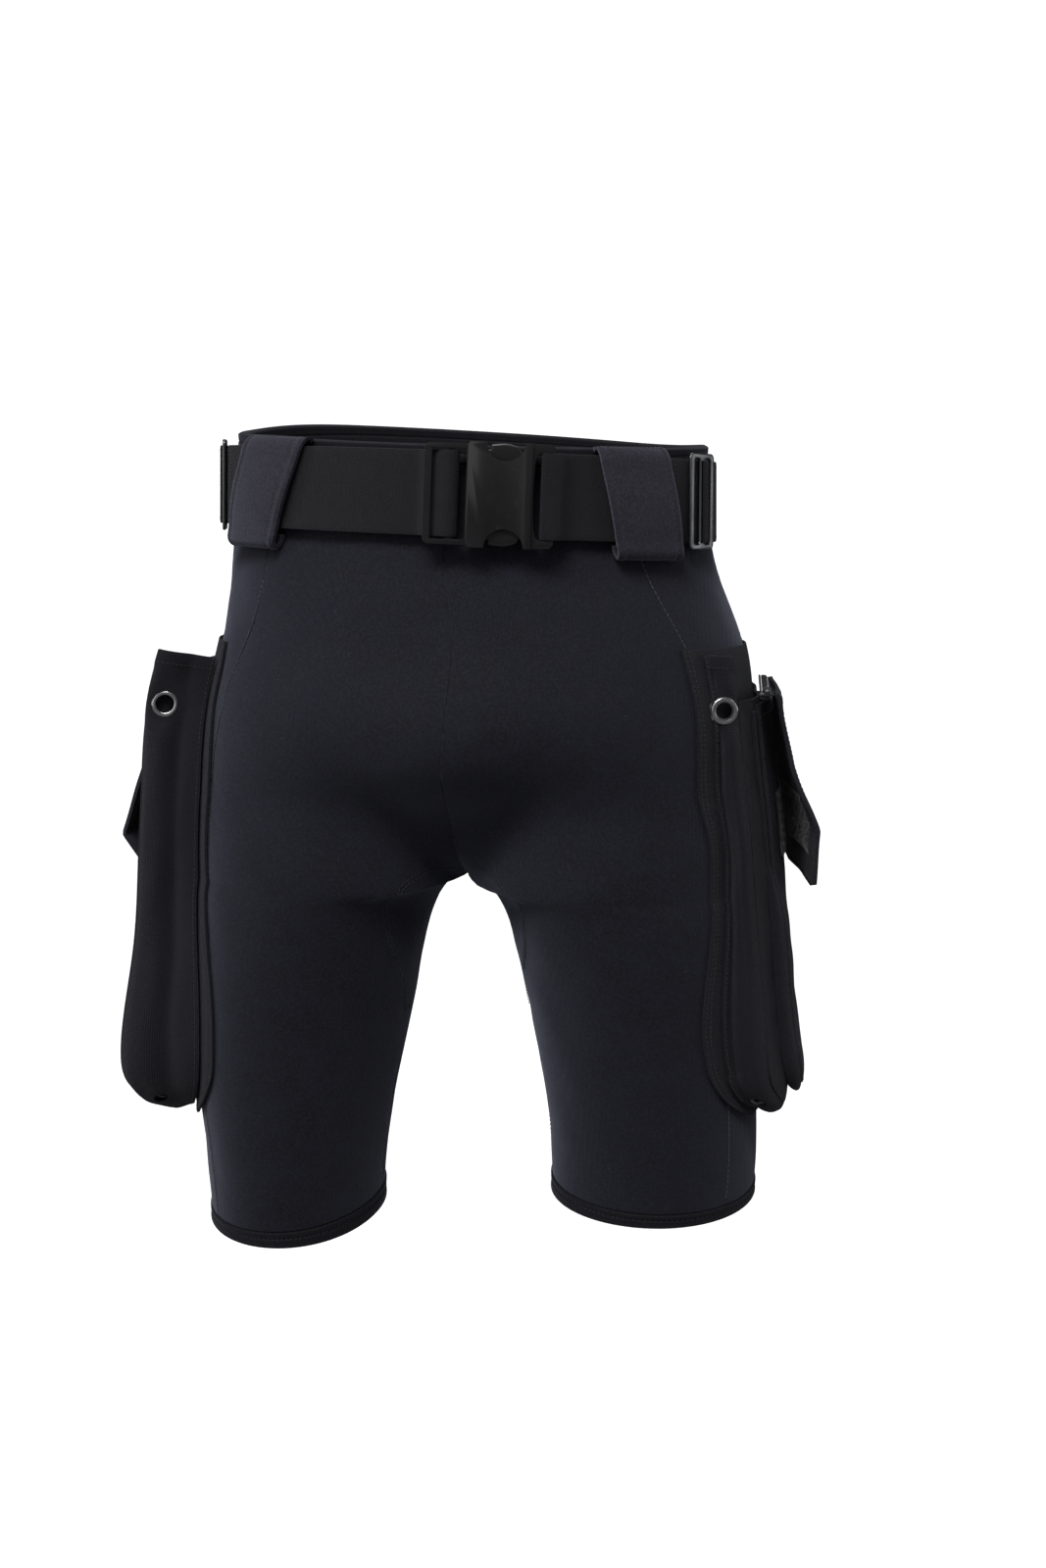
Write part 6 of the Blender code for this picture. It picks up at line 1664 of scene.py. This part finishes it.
    rod(bm, 4.2, -6.0, 6.0)
    cut(gus, tool(bm, md))
    bm = bmesh.new()
    lathe(bm, [(3.2, -1.5), (3.8, -1.5), (3.8, 1.05), (6.25, 1.05), (6.4, 1.2), (6.2, 1.5), (5.6, 1.8), (4.8, 1.9), (4.0, 1.75), (3.4, 1.45), (3.2, 1.1)], 60)
    bake(hard(f"drain_rim_{tag}", bm, DARKMETAL, md), nodes=(f"drain_eyelet_{tag}",), smooth=50)
    gus.modifiers.new("rounded_rim", "BEVEL")
    gm = gus.modifiers["rounded_rim"]
    gm.width, gm.segments, gm.limit_method, gm.angle_limit = 0.0004, 2, "ANGLE", math.radians(60)
    bake(gus, smooth=70)

finish_threads()
for t in TOOLS:
    bpy.data.objects.remove(t, do_unlink=True)


# ---------------------------------------------------------------- floor, light and camera
AMBIENT = 0.10


def stage_mesh(name, verts, faces, mat):
    me = bpy.data.meshes.new(name)
    me.from_pydata(verts, [], faces)
    me.materials.append(mat)
    me.shade_smooth()
    ob = bpy.data.objects.new(name, me)
    bpy.context.scene.collection.objects.link(ob)
    return ob


PALE, nt, b = nodes_of("pale_floor", (0.93, 0.93, 0.93), 0.9)
t = Tree(nt)
t.link(t.mix(t.remap(t.noise(1.2, 2.0), 0.3, 0.7, 0.0, 1.0), (0.90, 0.90, 0.90), (0.92, 0.92, 0.92)), b.inputs["Base Color"])
b.inputs["Emission Color"].default_value = (1, 1, 1, 1)
b.inputs["Emission Strength"].default_value = 0.80
ray = t.new("ShaderNodeLightPath")
dim = t.new("ShaderNodeBsdfDiffuse")
dim.inputs["Color"].default_value = (0.22, 0.22, 0.23, 1)
both = t.new("ShaderNodeMixShader")
t.link(ray.outputs["Is Camera Ray"], both.inputs[0])
t.link(dim.outputs[0], both.inputs[1])
t.link(b.outputs[0], both.inputs[2])
t.link(both.outputs[0], nt.nodes["Material Output"].inputs["Surface"])
prof = [(-4.5, 0.0), (1.6, 0.0)] + [(1.6 + 1.2 * math.sin(a), 1.2 - 1.2 * math.cos(a)) for a in np.linspace(0.1, math.pi / 2, 14)] + [(2.8, 5.0)]
vs = [(x, y, z - 0.25) for y, z in prof for x in (-6.0, 6.0)]
stage_mesh("pale_floor", vs, [(2 * i, 2 * i + 1, 2 * i + 3, 2 * i + 2) for i in range(len(prof) - 1)], PALE)

w = bpy.data.worlds.new("studio")
bpy.context.scene.world = w
w.use_nodes = True
bg = w.node_tree.nodes["Background"]
bg.inputs["Color"].default_value = (1.0, 1.0, 1.0, 1)
t = Tree(w.node_tree)
ray = t.new("ShaderNodeLightPath")
t.link(t.remap(ray.outputs["Is Camera Ray"], 0.0, 1.0, AMBIENT, 1.0), bg.inputs["Strength"])


def softbox(name, loc, aim, sx, sy, power, colour=(1, 1, 1)):
    d = bpy.data.lights.new(name, "AREA")
    d.shape, d.size, d.size_y, d.energy, d.color = "RECTANGLE", sx, sy, power, colour
    ob = bpy.data.objects.new(name, d)
    bpy.context.scene.collection.objects.link(ob)
    ob.location = loc
    ob.rotation_euler = (Vector(aim) - Vector(loc)).to_track_quat("-Z", "Y").to_euler()
    return ob


softbox("key", (-0.35, -1.75, 2.35), (0, 0, 0.34), 1.4, 0.9, 34)
softbox("front_fill", (-0.9, -2.3, 0.9), (0, 0, 0.25), 1.2, 1.6, 4)
softbox("left", (-2.1, -0.6, 0.9), (0, 0, 0.28), 0.8, 1.8, 8)
softbox("right", (2.1, -0.5, 0.9), (0, 0, 0.28), 0.8, 1.8, 4)
softbox("right_strip", (1.9, 0.72, 0.55), (0.12, -0.05, 0.44), 0.30, 0.9, 1.6)
softbox("glint", (-0.1, -1.3, 1.75), (0, 0, 0.46), 1.6, 0.07, 6.0)
softbox("top_back", (0.0, 1.2, 2.4), (0, 0, 0.4), 2.2, 0.8, 12)

BC = Vector(SHIFT)
cam = bpy.data.cameras.new("camera")
cam_ob = bpy.data.objects.new("camera", cam)
bpy.context.scene.collection.objects.link(cam_ob)
AZ = math.radians(9.0)
cam_ob.location = BC + Vector((math.sin(AZ), -math.cos(AZ), 0.0)) * 1.1
cam_ob.rotation_euler = (math.radians(90), 0, AZ)
cam.sensor_fit = "VERTICAL"
cam.sensor_height = 36.0
cam.lens = 39.6
cam.shift_x, cam.shift_y = 0.0334, -0.1856
cam.clip_start, cam.clip_end = 0.05, 30.0
bpy.context.scene.camera = cam_ob
bpy.context.scene.view_settings.view_transform = "Standard"

# the frame is off-centre only from the front three-quarter viewpoint
for i, value in ((0, cam.shift_x), (1, cam.shift_y)):
    drv = cam.driver_add(("shift_x", "shift_y")[i]).driver
    var = drv.variables.new()
    var.name, var.type = "px", "TRANSFORMS"
    var.targets[0].id = cam_ob
    var.targets[0].transform_type = "LOC_X"
    var.targets[0].transform_space = "WORLD_SPACE"
    drv.type = "SCRIPTED"
    drv.expression = f"{value} if abs(px - {cam_ob.location.x:.6f}) < 0.0005 else 0.0"

bpy.context.view_layer.update()
